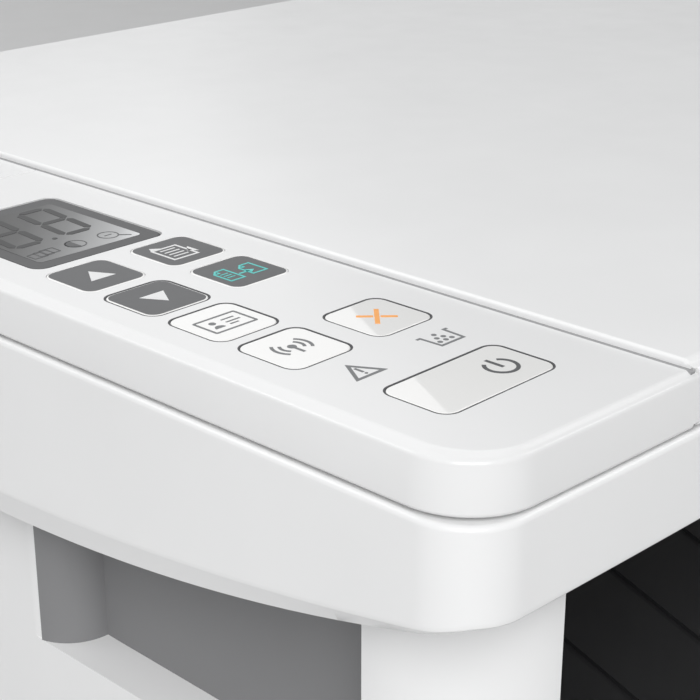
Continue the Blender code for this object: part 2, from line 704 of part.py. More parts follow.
def toner_cartridge():
    outside = [(-86, 60), (17, 60), (17, 98), (-14, 104), (-26, 114), (-86, 108)]
    inside = [(-83.5, 62), (-24, 62), (-24, 50), (14.5, 50), (14.5, 96), (-15, 101.6), (-27, 111.4)]
    inside.append((-83.5, 105.7))

    def from_drum(points):
        return [(DRUM_C[0] + y, z) for y, z in points]

    shell = prism(from_drum(outside), "X", -CARTRIDGE_X, CARTRIDGE_X)
    cut(shell, prism(from_drum(inside), "X", -CARTRIDGE_X + 6, CARTRIDGE_X - 6))
    ends = (
        shaft(-CARTRIDGE_X - 1, CARTRIDGE_X + 1, DRUM_C, BEARING_R, 12),
        shaft(-CARTRIDGE_X - 1, CARTRIDGE_X + 1, DEVELOPER_C, BEARING_R, 12),
    )
    cut(shell, *ends)
    finish("toner_cartridge", shell, black())


def roller(name, centre, half_w, radius, look, x0, x1, drive="", pulley=0.0):
    """A roller on its shaft, with its gear and its belt pulley if it has them."""
    profile = [(0.0, SHAFT_R), (-half_w - x0, SHAFT_R), (-half_w - x0, radius), (half_w - x0, radius)]
    profile.append((half_w - x0, SHAFT_R))
    if pulley:
        start = GEAR_X + LAYER - 0.2 - x0
        stop = start + BELT_W + 0.4
        profile += [(start, SHAFT_R), (start, pulley), (stop, pulley), (stop, SHAFT_R)]
    profile.append((x1 - x0, SHAFT_R))
    made = turned(profile, x0, centre, 20)
    if drive:
        join(made, gear(GEAR_X, GEAR_W, centre, TEETH[drive], PHASE[drive]))
    finish(name, made, look, (0, *centre))


def rollers():
    left, right = -FRAME_OUT_X + GAP, FRAME_OUT_X - GAP
    outer = GEAR_X + GEAR_W + 0.8
    belt_end = GEAR_X + LAYER + BELT_W + 0.8
    drum_green = material("drum_coating", (0.05, 0.30, 0.28), 0.15)
    wide = ROLL_HALF_W
    x = CARTRIDGE_X - 1
    roller("drum", DRUM_C, wide, DRUM_R, drum_green, left, outer, "drum")
    roller("developer_roller", DEVELOPER_C, wide - 2, DEVELOPER_R, rubber(), -x, x)
    roller("transfer_roller", TRANSFER_C, wide - 4, TRANSFER_R, rubber(), left, right)
    heat = material("fuser_sleeve", (0.10, 0.05, 0.03), 0.3)
    roller("fuser_roller", HEAT_C, wide, HEAT_R, heat, left, belt_end, "fuser", PULLEY_R[0])
    roller("pressure_roller", PRESS_C, wide, PRESS_R, rubber(), left, right)
    roller("pickup_roller", PICKUP_C, 22, PICKUP_R, rubber(), left, outer, "pickup")
    roller("exit_roller", EXIT_C, wide - 16, EXIT_R, rubber(), left, belt_end, "", PULLEY_R[1])


def belt_outline(a, radius_a, b, radius_b, steps=8):
    """The line around two circles."""
    line = math.atan2(b[1] - a[1], b[0] - a[0])
    reach = math.hypot(b[0] - a[0], b[1] - a[1])
    lean = math.acos((radius_a - radius_b) / reach)
    high, low = math.degrees(line + lean), math.degrees(line - lean)
    return arc(a, radius_a, high, low + 360, steps) + arc(b, radius_b, low, high, steps)


def gear_train():
    x0 = GEAR_X + LAYER
    inner = belt_outline(HEAT_C, PULLEY_R[0] + 0.3, EXIT_C, PULLEY_R[1] + 0.3)
    outer = belt_outline(HEAT_C, PULLEY_R[0] + 0.3 + BELT_T, EXIT_C, PULLEY_R[1] + 0.3 + BELT_T)
    belt = cut(prism(outer, "X", x0, x0 + BELT_W), prism(inner, "X", x0 - 1, x0 + BELT_W + 1))
    finish("exit_belt", belt, rubber())
    for name, key, centre in (
        ("drive_gear", "drive", DRIVE_C),
        ("idler_gear", "idler", IDLER_C),
        ("feed_gear", "feed", FEED_C),
    ):
        made = gear(GEAR_X, GEAR_W, centre, TEETH[key], PHASE[key], BEARING_R)
        finish(name, made, gear_white(), (0, *centre))
    pinion = gear(GEAR_X, GEAR_W, MOTOR_C, TEETH["pinion"], PHASE["pinion"])
    join(pinion, shaft(FRAME_X - 6, GEAR_X + GEAR_W + 1, MOTOR_C, 2.0, 12))
    finish("motor_pinion", pinion, gear_white(), (0, *MOTOR_C))
    motor = shaft(FRAME_X - 25, FRAME_X - GAP, MOTOR_C, 20, 24)
    cut(motor, shaft(FRAME_X - 7, FRAME_X + 1, MOTOR_C, 2.0 + GAP, 12))
    finish("main_motor", motor, steel())


def electronics():
    x, y = -FRAME_OUT_X, ENGINE_Y
    board = block((x - 5.6, y - 60, 36), (x - 4, y + 80, 116))
    chips = [
        block((x - 7.6, y + a, z), (x - 5, y + a + w, z + h), 0.0)
        for a, z, w, h in ((-40, 60, 22, 22), (0, 70, 14, 14), (30, 48, 16, 10), (40, 90, 24, 8))
    ]
    posts = [
        rod((x - GAP, y + a, z), (x - 4.5, y + a, z), 3, 8)
        for a, z in ((-54, 42), (-54, 110), (74, 42), (74, 110))
    ]
    finish("main_board", join(board, *chips, *posts), circuit())
    supply = block((-120, y + 52, STANDING_Z), (110, y + 84, STANDING_Z + 2.6))
    foot = STANDING_Z + 1.6
    parts = [
        block((-110, y + 56, foot), (-70, y + 80, 34)),
        block((-50, y + 58, foot), (-26, y + 80, 30)),
        rod((0, y + 68, foot), (0, y + 68, 36), 9, 12),
        rod((28, y + 68, foot), (28, y + 68, 30), 6, 12),
        block((50, y + 62, foot), (96, y + 66, 32)),
    ]
    finish("power_supply", join(supply, *parts), circuit())
    (x0, x1), (z0, z1), g, rear = INLET_X, INLET_Z, SOCKET_GAP, BODY_BACK
    x, z = (x0 + x1) / 2, (z0 + z1) / 2
    inlet = block((x0 + g, rear - 22, z0 + g), (x1 - g, rear - g, z1 - g))
    mouth = block((x0 + 3.1, rear - 16, z0 + 3), (x1 - 3.1, rear + 4, z1 - 3), 3.0, "Y", 2)
    pins = [block((x + a - 1.9, rear - 17, z - 0.8), (x + a + 1.9, rear - 4, z + 0.8)) for a in (-7, 0, 7)]
    finish("power_inlet", join(cut(inlet, mouth), *pins), black())
    (x0, x1), (z0, z1) = PORT_X, PORT_Z
    port = block((x0 + g, rear - 18, z0 + g), (x1 - g, rear - g, z1 - g))
    hollow = block((x0 + 2, rear - 12, z0 + 2), (x1 - 2, rear + 4, z1 - 1.8))
    tongue = block((x0 + 3.8, rear - 13, z0 + 4.4), (x1 - 3.8, rear - 4, z1 - 4.2))
    finish("usb_port", join(cut(port, hollow), tongue), steel())


def feet():
    x = BODY_HALF_W - 23
    for row, y in (("front", BODY_FRONT + 30), ("rear", BODY_BACK - 22)):
        for side, place in (("left", -x), ("right", x)):
            pad = rod((place, y, 0), (place, y, FEET_H - 0.3), 9, 16)
            finish(f"foot_{row}_{side}", pad, rubber())


# ---------------------------------------------------------------- paper handling
def input_tray():
    half = BIN_SIDE_X - 0.6
    panel = block((-half, TRAY_FRONT_Y, TRAY_AXIS_Z - TRAY_HEEL), (half, TRAY_FRONT_Y + TRAY_T, TRAY_TOP_Z))
    shelf = block((-half, TRAY_FRONT_Y, TRAY_TOP_Z - 2.5), (half, TRAY_FRONT_Y + 12, TRAY_TOP_Z))
    lugs = [
        block((x, TRAY_FRONT_Y, TRAY_AXIS_Z - TRAY_HEEL), (x + 5, TRAY_AXIS_Y + 3, TRAY_AXIS_Z + 3))
        for x in (-half, half - 5)
    ]
    pins = shaft(-half - 2.4, half + 2.4, (TRAY_AXIS_Y, TRAY_AXIS_Z), TRAY_PIN_R, 12)
    y = TRAY_AXIS_Y
    cut(pins, block((-half + 3, y - 20, 0), (half - 3, y + 20, 40)))
    join(panel, shelf, *lugs, pins)
    grip = block((-30, TRAY_FRONT_Y - 1, TRAY_TOP_Z - 8), (30, TRAY_FRONT_Y + 1.6, TRAY_TOP_Z - 3.5))
    cut(panel, grip)
    finish("input_tray", panel, white(), (0, TRAY_AXIS_Y, TRAY_AXIS_Z))


def paper_guides():
    for name, side in (("paper_guide_left", -1), ("paper_guide_right", 1)):
        x0, x1 = mirrored((PAPER_HALF_W + 0.5, PAPER_HALF_W + 2.5), side)
        y = DECK_FRONT_Y
        wall = block((x0, y + 8, DECK_Z + GAP), (x1, y + 74, 46))
        x0, x1 = mirrored((PAPER_HALF_W - 20, PAPER_HALF_W + 2), side)
        foot = block((x0, y + 24, DECK_Z + GAP), (x1, y + 58, DECK_Z + GAP + 1.2))
        finish(name, join(wall, foot), black())


def on_door(a, h):
    """A point of the output bin's floor: a to the front of its hinge, h above its plane."""
    c, s = math.cos(BIN_SLOPE), math.sin(BIN_SLOPE)
    return (BIN_HINGE_Y - a * c - h * s, BIN_HINGE_Z - a * s + h * c)


def door_slab(a0, a1, h0, h1, x0, x1):
    return prism([on_door(a1, h0), on_door(a0, h0), on_door(a0, h1), on_door(a1, h1)], "X", x0, x1)


def cartridge_door():
    half = BIN_SIDE_X - 0.8
    top = 1.3
    low = top - DOOR_T
    lip = DOOR_LENGTH - 2.5
    side = [(-2.2, low), (lip, low), (lip, low - 2), (DOOR_LENGTH, low - 2), (DOOR_LENGTH, top), (-2.2, top)]
    panel = prism([on_door(a, h) for a, h in side], "X", -half, half)
    barrel = [door_slab(-2.1, 4, -2.4, 0.0, x, x + 10) for x in (-half, half - 10)]
    pins = shaft(-half - 2.6, half + 2.6, (BIN_HINGE_Y, BIN_HINGE_Z), 2.0, 12)
    y, z = BIN_HINGE_Y, BIN_HINGE_Z
    cut(pins, block((-half + 8, y - 20, z - 40), (half - 8, y + 20, z + 40)))
    join(panel, *barrel, pins)
    grooves = []
    first = -4.5 * BIN_GROOVE_PITCH
    for i in range(10):
        x = first + i * BIN_GROOVE_PITCH
        if abs(x) > STOP_FLAP[0] / 2 + 2:
            grooves.append(door_slab(8, DOOR_LENGTH - 6, top - 0.8, top + 1, x - 0.8, x + 0.8))
    w = STOP_FLAP[0] / 2 + 0.5
    front = DOOR_LENGTH - 4
    seat = door_slab(front - STOP_FLAP[1] - 0.5, front + 0.5, -0.4, top + 1, -w, w)
    cut(panel, *grooves, seat)
    finish("cartridge_door", panel, black(), (0, BIN_HINGE_Y, BIN_HINGE_Z))


def output_stop():
    w = STOP_FLAP[0] / 2
    front = DOOR_LENGTH - 4
    flap = door_slab(front - STOP_FLAP[1], front, 0.0, 1.3, -w, w)
    hole = door_slab(front - STOP_FLAP[1] + 8, front - 12, -1, 3, -w + 10, w - 10)
    y, z = on_door(front - 0.6, 0.65)
    finish("output_stop", cut(flap, hole), grey(), (0, y, z))


# ---------------------------------------------------------------- scanner
def upper_plan(x0, x1, inset=0.0, radii=(UPPER_CORNER_R, UPPER_CORNER_R)):
    return plan(x0, x1, BACK, radii, (8, 8), inset)


def scanner_base():
    corners = (UPPER_CORNER_R - 2, UPPER_CORNER_R - 2)
    deck_low = RIM_Z - DECK_T
    shell = prism(upper_plan(-HALF_W, HALF_W, 0, corners), "Z", SKIRT_LOW_Z, RIM_Z)
    inside = prism(upper_plan(-HALF_W, HALF_W, SHELL_T, corners), "Z", SKIRT_LOW_Z - 9, deck_low)
    cut(shell, inside)
    cut(shell, sweep_cutter(skirt_line))
    lip = prism(upper_plan(-HALF_W, HALF_W, LIP_INSET, corners), "Z", SKIRT_LOW_Z - LIP_DROP[0], deck_low + 1)
    hollow = prism(upper_plan(-HALF_W, HALF_W, SHELL_T, corners), "Z", SKIRT_LOW_Z - 9, deck_low + 2)
    behind = block((-HALF_W, LIP_BACK_Y, SKIRT_LOW_Z - 9), (HALF_W, BACK, RIM_Z))
    join(shell, cut(lip, hollow, sweep_cutter(lip_line), behind))
    pan = block((PAN_LEFT_X, PAN_FRONT_Y, PAN_Z), (HALF_W - SHELL_T + 0.5, PAN_BACK_Y, RIM_Z - 1))
    beam = block((-HALF_W + 1.5, PAN_BACK_Y - 1, HINGE_STEP_Z - 2.7), (HALF_W - 1.5, BACK - 1.5, deck_low + 0.5))
    lugs = []
    for side in (-1, 1):
        x0, x1 = mirrored(LIFT_LUG_X, side)
        r = LIFT_LUG_R - 0.5
        outline = arc((LIFT_Y, LIFT_Z), r, 180, 360, 8) + [(LIFT_Y + r, RIM_Z - 2), (LIFT_Y - r, RIM_Z - 2)]
        lugs.append(prism(outline, "X", x0, x1))
        x0, x1 = mirrored((LIFT_LUG_X[0] + 1, FRAME_OUT_X + 0.4), side)
        lugs.append(shaft(x0, x1, (LIFT_Y, LIFT_Z), LIFT_PIN_R, 16))
    join(shell, pan, beam, *lugs)
    x0, x1 = PAN_LEFT_X + WALL, HALF_W - SHELL_T - WALL
    cavity = block((x0, PAN_FRONT_Y + WALL, PAN_Z + PAN_T), (x1, PAN_BACK_Y - WALL, deck_low))
    ledge = GLASS_LEDGE
    aperture = block(
        (GLASS_X[0] + ledge, GLASS_Y[0] + ledge, PAN_Z + 5), (GLASS_X[1] - ledge, GLASS_Y[1] - ledge, RIM_Z + 1)
    )
    rabbet = block(
        (GLASS_X[0] - 0.3, GLASS_Y[0] - 0.3, RIM_Z - GLASS_T - 0.5),
        (GLASS_X[1] + 0.3, GLASS_Y[1] + 0.3, RIM_Z + 1),
    )
    step = block((STRIP_RIGHT + 0.6, HINGE_STEP_Y, HINGE_STEP_Z), (HALF_W + 1, BACK + 1, RIM_Z + 1))
    cut(shell, cavity, aperture, rabbet, step)
    finish("scanner_base", shell, white(), (0, LIFT_Y, LIFT_Z))


def scanner_inside():
    glass = material("glass", (0.10, 0.12, 0.12), 0.05)
    plate = block((GLASS_X[0], GLASS_Y[0], RIM_Z - GLASS_T - 0.2), (GLASS_X[1], GLASS_Y[1], RIM_Z - 0.2))
    finish("platen_glass", plate, glass)
    low = PAN_Z + PAN_T
    y = (GLASS_Y[0] + GLASS_Y[1]) / 2
    x = HALF_W - SHELL_T - WALL - GAP
    rail = rod((PAN_LEFT_X + WALL + GAP, y, low + 3.6), (x, y, low + 3.6), RAIL_R, 12)
    finish("carriage_rod", rail, steel())
    x0 = GLASS_X[0] + GLASS_LEDGE + 0.8
    carriage = block((x0, GLASS_Y[0] + 4, low + 1.0), (x0 + 14, GLASS_Y[1] - 6, RIM_Z - GLASS_T - 0.8))
    bore = rod((x0 - 5, y, low + 3.6), (x0 + 20, y, low + 3.6), RAIL_R + GAP, 12)
    z = RIM_Z - GLASS_T - 1.8
    window = block((x0 + 4, GLASS_Y[0] + 7, z), (x0 + 10, GLASS_Y[1] - 11, RIM_Z))
    finish("scan_carriage", cut(carriage, bore, window), black())


def strip_solid(outline, edged):
    """A strip cover: walls with a raised top face, whose edge is set back by the edge band."""
    body = prism(outline, "Z", PANEL_BOTTOM, PANEL_Z - PANEL_EDGE_DROP)
    top = prism(edged, "Z", PANEL_BOTTOM + 1, PANEL_Z)
    return join(body, top)


def rear_strip_plan(inset, right_inset):
    x0, x1 = -HALF_W + inset, STRIP_RIGHT - right_inset
    y0, y1 = PANEL_BACK_Y + 0.3 + right_inset, BACK - inset
    r = max(8 - inset, 0.5)
    return [(x0, y0), (x1, y0), (x1, y1), *arc((x0 + r, y1 - r), r, 90, 180, 5)]


def front_strip_plan(inset, right_inset):
    x0, x1, y1 = -HALF_W + inset, STRIP_RIGHT - right_inset, PANEL_BACK_Y - right_inset
    r = UPPER_CORNER_R - inset
    left = -HALF_W + UPPER_CORNER_R
    out = arc((left, front_line(left) + UPPER_CORNER_R), r, 180, 270, 6)
    for i in range(1, 4):
        x = left + (x1 - left) * i / 4
        out.append((x, front_line(x) + inset))
    return out + [(x1, front_line(x1) + inset), (x1, y1), (x0, y1)]


def control_panel():
    panel = strip_solid(front_strip_plan(0, 0), front_strip_plan(PANEL_EDGE_W, 0))
    cut(panel, prism(front_strip_plan(PANEL_T, PANEL_T), "Z", PANEL_BOTTOM - 1, PANEL_Z - PANEL_T))
    slots = []
    for _, x, y in KEYS:
        slots.append(slot((x, y), (KEY, KEY)))
    slots.append(slot(POWER_KEY_POS, POWER_KEY))
    slots.append(slot(DISPLAY_POS, DISPLAY))
    cut(panel, *slots)
    finish("control_panel", panel, white())
    rear = strip_solid(rear_strip_plan(0, 0), rear_strip_plan(PANEL_EDGE_W, 0))
    cut(rear, prism(rear_strip_plan(PANEL_T, PANEL_T), "Z", PANEL_BOTTOM - 1, PANEL_Z - PANEL_T))
    finish("panel_rear_cover", rear, white())


def key_rows():
    """Name and centre of every square key."""
    rows = [KEY_ROW_1 - i * KEY_ROW_PITCH for i in range(4)]
    left = ("key_up", "key_down", "key_id_copy", "key_wireless")
    right = {0: "key_copy_setup", 1: "key_start_copy", 3: "key_cancel"}
    found = [(name, KEY_LEFT_X, y) for name, y in zip(left, rows)]
    found += [(name, KEY_RIGHT_X, rows[i]) for i, name in right.items()]
    return found


KEYS = key_rows()


def slot(centre, size):
    w, d = size[0] / 2 + KEY_SLOT, size[1] / 2 + KEY_SLOT
    x, y = centre
    outline = rounded_rectangle((x - w, y - d), (x + w, y + d), KEY_R + KEY_SLOT)
    return prism(outline, "Z", PANEL_Z - PANEL_T - 3, PANEL_Z + 3)


def key(name, centre, size, look):
    x, y = centre
    w, d = size[0] / 2, size[1] / 2
    low = PANEL_Z - PANEL_T - GAP
    cap = prism(rounded_rectangle((x - w, y - d), (x + w, y + d), KEY_R), "Z", low - 1, PANEL_Z + 0.15)
    flange = block((x - w - 0.8, y - d - 0.8, low - 1.6), (x + w + 0.8, y + d + 0.8, low))
    stem = rod((x, y, PANEL_BOTTOM + 2.9), (x, y, low - 1), 2.4, 8)
    finish(name, join(cap, flange, stem), look, (x, y, 0))


def panel_parts():
    grey_key = material("dark_key", (0.10, 0.105, 0.11), 0.4)
    white_key = material("white_key", (0.85, 0.85, 0.85), 0.3)
    dark = ("key_up", "key_down", "key_copy_setup", "key_start_copy")
    for name, x, y in KEYS:
        key(name, (x, y), (KEY, KEY), grey_key if name in dark else white_key)
    key("key_power", POWER_KEY_POS, POWER_KEY, white_key)
    low = PANEL_BOTTOM + 0.4
    board = block((-HALF_W + 4.5, FRONT + 16, low), (STRIP_RIGHT - 4, PANEL_BACK_Y - 9.2, low + 1.6))
    finish("panel_board", board, circuit())
    (x, y), (w, d) = DISPLAY_POS, DISPLAY
    outline = rounded_rectangle((x - w / 2, y - d / 2), (x + w / 2, y + d / 2), DISPLAY_R)
    lens = prism(outline, "Z", low + 2, PANEL_Z - 0.1)
    finish("display_module", lens, material("display_lens", (0.03, 0.03, 0.032), 0.12))


# ---------------------------------------------------------------- lid
def lid_plan(inset=0.0, left_inset=None):
    left_inset = inset if left_inset is None else left_inset
    x0 = STRIP_RIGHT + 1.1 + left_inset
    x1 = HALF_W - inset
    r = UPPER_CORNER_R - inset
    right = HALF_W - UPPER_CORNER_R
    out = []
    for i in range(10):
        x = x0 + (right - x0) * i / 10
        out.append((x, front_line(x) + inset))
    out += arc((right, front_line(right) + UPPER_CORNER_R), r, -90, 0, 6)
    r = max(8 - inset, 0.5)
    out += arc((x1 - r, BACK - inset - r), r, 0, 90, 4)
    out.append((x0, BACK - inset))
    return out


def lid():
    cover = prism(lid_plan(), "Z", PANEL_BOTTOM, HEIGHT - 1.0)
    join(cover, prism(lid_plan(1.0), "Z", PANEL_BOTTOM + 1, HEIGHT))
    cut(cover, prism(lid_plan(PANEL_T), "Z", PANEL_BOTTOM - 1, HEIGHT - PANEL_T))
    lugs = []
    notches = []
    for x in LID_HINGE_X:
        r = 3.3
        outline = arc((LID_AXIS_Y, LID_AXIS_Z), r, 180, 360, 6)
        outline += [(LID_AXIS_Y + r, HEIGHT - 1.2), (LID_AXIS_Y - r, HEIGHT - 1.2)]
        lugs.append(prism(outline, "X", x - 5, x + 5))
        notches.append(block((x - 12, BACK - 5, PANEL_BOTTOM - 1), (x + 12, BACK + 1, PANEL_BOTTOM + 6.7)))
    cut(cover, *notches)
    join(cover, *lugs)
    bores = [shaft(x - 8, x + 8, (LID_AXIS_Y, LID_AXIS_Z), LID_PIN_R + GAP, 12) for x in LID_HINGE_X]
    cut(cover, *bores)
    finish("lid_cover", cover, white(), (0, LID_AXIS_Y, LID_AXIS_Z))
    low = (GLASS_X[0] - 2, GLASS_Y[0] - 4, RIM_Z + 0.2)
    pad = block(low, (GLASS_X[1] + 1.5, GLASS_Y[1] + 0.5, HEIGHT - PANEL_T - 0.3))
    finish("lid_pad", pad, material("lid_foam", (0.88, 0.88, 0.87), 0.7), (0, LID_AXIS_Y, LID_AXIS_Z))


def lid_hinges():
    for name, x in zip(("lid_hinge_left", "lid_hinge_right"), LID_HINGE_X):
        foot = block((x - 11, HINGE_STEP_Y + 0.3, HINGE_STEP_Z + 0.3), (x + 11, BACK - 0.3, HINGE_STEP_Z + 2.5))
        ears = []
        for side in (-1, 1):
            x0, x1 = sorted((x + side * 5.8, x + side * 9.8))
            outline = arc((LID_AXIS_Y, LID_AXIS_Z), 3.5, 0, 180, 6)
            outline += [(LID_AXIS_Y - 3.5, HINGE_STEP_Z + 1), (LID_AXIS_Y + 3.5, HINGE_STEP_Z + 1)]
            ears.append(prism(outline, "X", x0, x1))
        join(foot, *ears, shaft(x - 8, x + 8, (LID_AXIS_Y, LID_AXIS_Z), LID_PIN_R, 12))
        finish(name, foot, grey())


base_pan()
for side in (-1, 1):
    side_cover(side)
    side_frame(side)
rear_cover()
rear_door()
engine_covers()
toner_cartridge()
rollers()
gear_train()
electronics()
feet()
input_tray()
paper_guides()
cartridge_door()
output_stop()
scanner_base()
scanner_inside()
control_panel()
panel_parts()
lid()
lid_hinges()
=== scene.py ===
"""Looks of the compact laser multifunction printer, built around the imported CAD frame.

All sizes in this file are in millimetres; MM turns them into metres. Places come from the CAD nodes' boxes.
"""

import json
import math

import bmesh
import bpy
from mathutils import Matrix, Vector


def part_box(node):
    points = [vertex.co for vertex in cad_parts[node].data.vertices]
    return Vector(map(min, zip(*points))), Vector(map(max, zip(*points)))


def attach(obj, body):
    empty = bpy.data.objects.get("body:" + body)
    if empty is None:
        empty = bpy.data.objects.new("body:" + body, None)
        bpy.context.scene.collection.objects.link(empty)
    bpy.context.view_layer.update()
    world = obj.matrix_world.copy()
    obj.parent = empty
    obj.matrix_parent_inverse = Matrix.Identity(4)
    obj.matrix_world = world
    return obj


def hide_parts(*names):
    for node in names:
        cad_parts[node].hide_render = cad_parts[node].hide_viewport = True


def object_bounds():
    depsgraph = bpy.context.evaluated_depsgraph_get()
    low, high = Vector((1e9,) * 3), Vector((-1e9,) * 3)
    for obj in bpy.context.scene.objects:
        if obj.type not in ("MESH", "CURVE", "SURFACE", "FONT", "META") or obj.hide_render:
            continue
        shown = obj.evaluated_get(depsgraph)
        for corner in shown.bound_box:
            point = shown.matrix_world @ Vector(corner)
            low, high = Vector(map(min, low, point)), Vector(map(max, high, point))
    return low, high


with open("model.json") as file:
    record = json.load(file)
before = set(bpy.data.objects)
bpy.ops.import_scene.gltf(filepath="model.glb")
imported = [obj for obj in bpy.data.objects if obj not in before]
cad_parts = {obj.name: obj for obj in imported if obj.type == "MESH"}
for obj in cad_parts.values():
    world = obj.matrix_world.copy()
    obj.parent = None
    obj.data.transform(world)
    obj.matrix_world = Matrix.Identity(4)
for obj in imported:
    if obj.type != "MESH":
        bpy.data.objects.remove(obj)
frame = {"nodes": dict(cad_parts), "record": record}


def plain(corners):
    return [[float(v) for v in corner] for corner in corners]


CAD_BOX = plain(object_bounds())
MM = 0.001


def box(node):
    """Lowest and highest corner of a CAD node, in millimetres."""
    low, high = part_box(node)
    return [v / MM for v in low], [v / MM for v in high]


ALL_LOW, ALL_HIGH = [v / MM for v in CAD_BOX[0]], [v / MM for v in CAD_BOX[1]]
HALF_W = ALL_HIGH[0]
FRONT, BACK, TOP = ALL_LOW[1], ALL_HIGH[1], ALL_HIGH[2]
BOW = 4.5  # how far the front edge runs back from the middle to the sides
PANEL_LOW, PANEL_HIGH = box("control_panel")
PANEL_Z = PANEL_HIGH[2]
PANEL_BOTTOM = PANEL_LOW[2]
PANEL_RIGHT = PANEL_HIGH[0]
PANEL_BACK = PANEL_HIGH[1]
LID_LEFT = box("lid_cover")[0][0]
RIM_Z = box("scanner_base")[1][2]
SKIRT_LOW = 156.5
FRONT_LOW = RIM_Z - 15.1
SWEEP_FRONT, SWEEP_BACK = FRONT + 7.0, FRONT + 139.0
UPPER_R = 12.5
BASE_R = 10.5
REAR_R = 8.0
SKIN = 2.2
FAR = 200.0  # cutters reach this far to the sides, past the printer
UNDER, ABOVE = 50.0, 300.0  # and this low and high


# ---------------------------------------------------------------- mesh helpers
def new_object(name, bm, scale=True):
    if scale:
        bmesh.ops.scale(bm, vec=(MM, MM, MM), verts=bm.verts)
    bmesh.ops.recalc_face_normals(bm, faces=bm.faces)
    if bm.calc_volume(signed=True) < 0:
        bmesh.ops.reverse_faces(bm, faces=bm.faces)
    mesh = bpy.data.meshes.new(name)
    bm.to_mesh(mesh)
    bm.free()
    obj = bpy.data.objects.new(name, mesh)
    bpy.context.scene.collection.objects.link(obj)
    return obj


def arc(centre, radius, start, end, steps):
    out = []
    for i in range(steps + 1):
        a = math.radians(start + (end - start) * i / steps)
        out.append((centre[0] + radius * math.cos(a), centre[1] + radius * math.sin(a)))
    return out


def rounded(low, high, radius, steps=8):
    (x0, y0), (x1, y1) = low[:2], high[:2]
    r = min(radius, (x1 - x0) / 2 - 0.001, (y1 - y0) / 2 - 0.001)
    return (
        arc((x1 - r, y0 + r), r, -90, 0, steps)
        + arc((x1 - r, y1 - r), r, 0, 90, steps)
        + arc((x0 + r, y1 - r), r, 90, 180, steps)
        + arc((x0 + r, y0 + r), r, 180, 270, steps)
    )


def to_3d(axis, u, v, w):
    """(u, v) in the plane across the axis and w along it."""
    return {"X": (w, u, v), "Y": (u, w, v), "Z": (u, v, w)}[axis]


def add_prism(bm, points, axis, low, high):
    a = [bm.verts.new(to_3d(axis, u, v, low)) for u, v in points]
    b = [bm.verts.new(to_3d(axis, u, v, high)) for u, v in points]
    bm.faces.new(a)
    bm.faces.new(b[::-1])
    for i in range(len(points)):
        j = (i + 1) % len(points)
        bm.faces.new((a[i], a[j], b[j], b[i]))


def prism(points, axis, low, high, name="scratch"):
    bm = bmesh.new()
    add_prism(bm, points, axis, low, high)
    return new_object(name, bm)


def block(low, high, radius=0.0, axis="Z", steps=6):
    """A box, with the four edges along axis rounded."""
    k = "XYZ".index(axis)
    u, v = [i for i in range(3) if i != k]
    a, b = (low[u], low[v]), (high[u], high[v])
    points = rounded(a, b, radius, steps) if radius else [a, (b[0], a[1]), b, (a[0], b[1])]
    return prism(points, axis, low[k], high[k])


def soft_block(low, high, edge=0.6, segments=3):
    """A box with all its edges rounded."""
    bm = bmesh.new()
    bmesh.ops.create_cube(bm, size=1.0)
    bmesh.ops.scale(bm, vec=[b - a for a, b in zip(low, high)], verts=bm.verts)
    bmesh.ops.translate(bm, vec=[(a + b) / 2 for a, b in zip(low, high)], verts=bm.verts)
    bmesh.ops.bevel(bm, geom=bm.edges[:], offset=edge, segments=segments, affect="EDGES", profile=0.5)
    return new_object("scratch", bm)


def rod(start, end, radius, sides=32):
    bm = bmesh.new()
    line = Vector(end) - Vector(start)
    bmesh.ops.create_cone(
        bm, cap_ends=True, segments=sides, radius1=radius, radius2=radius, depth=line.length
    )
    turn = Vector((0, 0, 1)).rotation_difference(line.normalized()).to_matrix().to_4x4()
    middle = (Vector(start) + Vector(end)) / 2
    bmesh.ops.transform(bm, matrix=Matrix.Translation(middle) @ turn, verts=bm.verts)
    return new_object("scratch", bm)


def loft(outline, profile, name="scratch"):
    """A closed skin through rings: outline(inset) gives a ring, for each (inset, z) of the profile."""
    bm = bmesh.new()
    rings = []
    for inset, z in profile:
        rings.append([bm.verts.new((x, y, z)) for x, y in outline(inset)])
    for a, b in zip(rings, rings[1:]):
        for i in range(len(a)):
            j = (i + 1) % len(a)
            bm.faces.new((a[i], a[j], b[j], b[i]))
    bm.faces.new(rings[0][::-1])
    bm.faces.new(rings[-1])
    return new_object(name, bm)


def bake(obj):
    bpy.context.view_layer.update()
    graph = bpy.context.evaluated_depsgraph_get()
    mesh = bpy.data.meshes.new_from_object(obj.evaluated_get(graph))
    obj.modifiers.clear()
    obj.data = mesh
    return obj


def combine(obj, others, operation):
    for other in others:
        change = obj.modifiers.new("combine", "BOOLEAN")
        change.operation = operation
        change.object = other
        bake(obj)
        bpy.data.objects.remove(other)
    return obj


def cut(obj, *others):
    return combine(obj, others, "DIFFERENCE")


def join(obj, *others):
    return combine(obj, others, "UNION")


def soften(obj, width, angle=40.0, segments=3):
    """Rounds the piece's sharp edges."""
    change = obj.modifiers.new("edges", "BEVEL")
    change.width = width * MM
    change.segments = segments
    change.limit_method = "ANGLE"
    change.angle_limit = math.radians(angle)
    change.harden_normals = False
    return obj


def round_edges(obj, chosen, width, segments=5):
    """Rounds the edges with both ends on the chosen line."""
    bm = bmesh.new()
    bm.from_mesh(obj.data)
    edges = [e for e in bm.edges if all(chosen(v.co) for v in e.verts) and e.calc_face_angle(0) > 0.5]
    bmesh.ops.bevel(bm, geom=edges, offset=width * MM, segments=segments, affect="EDGES", profile=0.5)
    bm.to_mesh(obj.data)
    bm.free()
    return obj


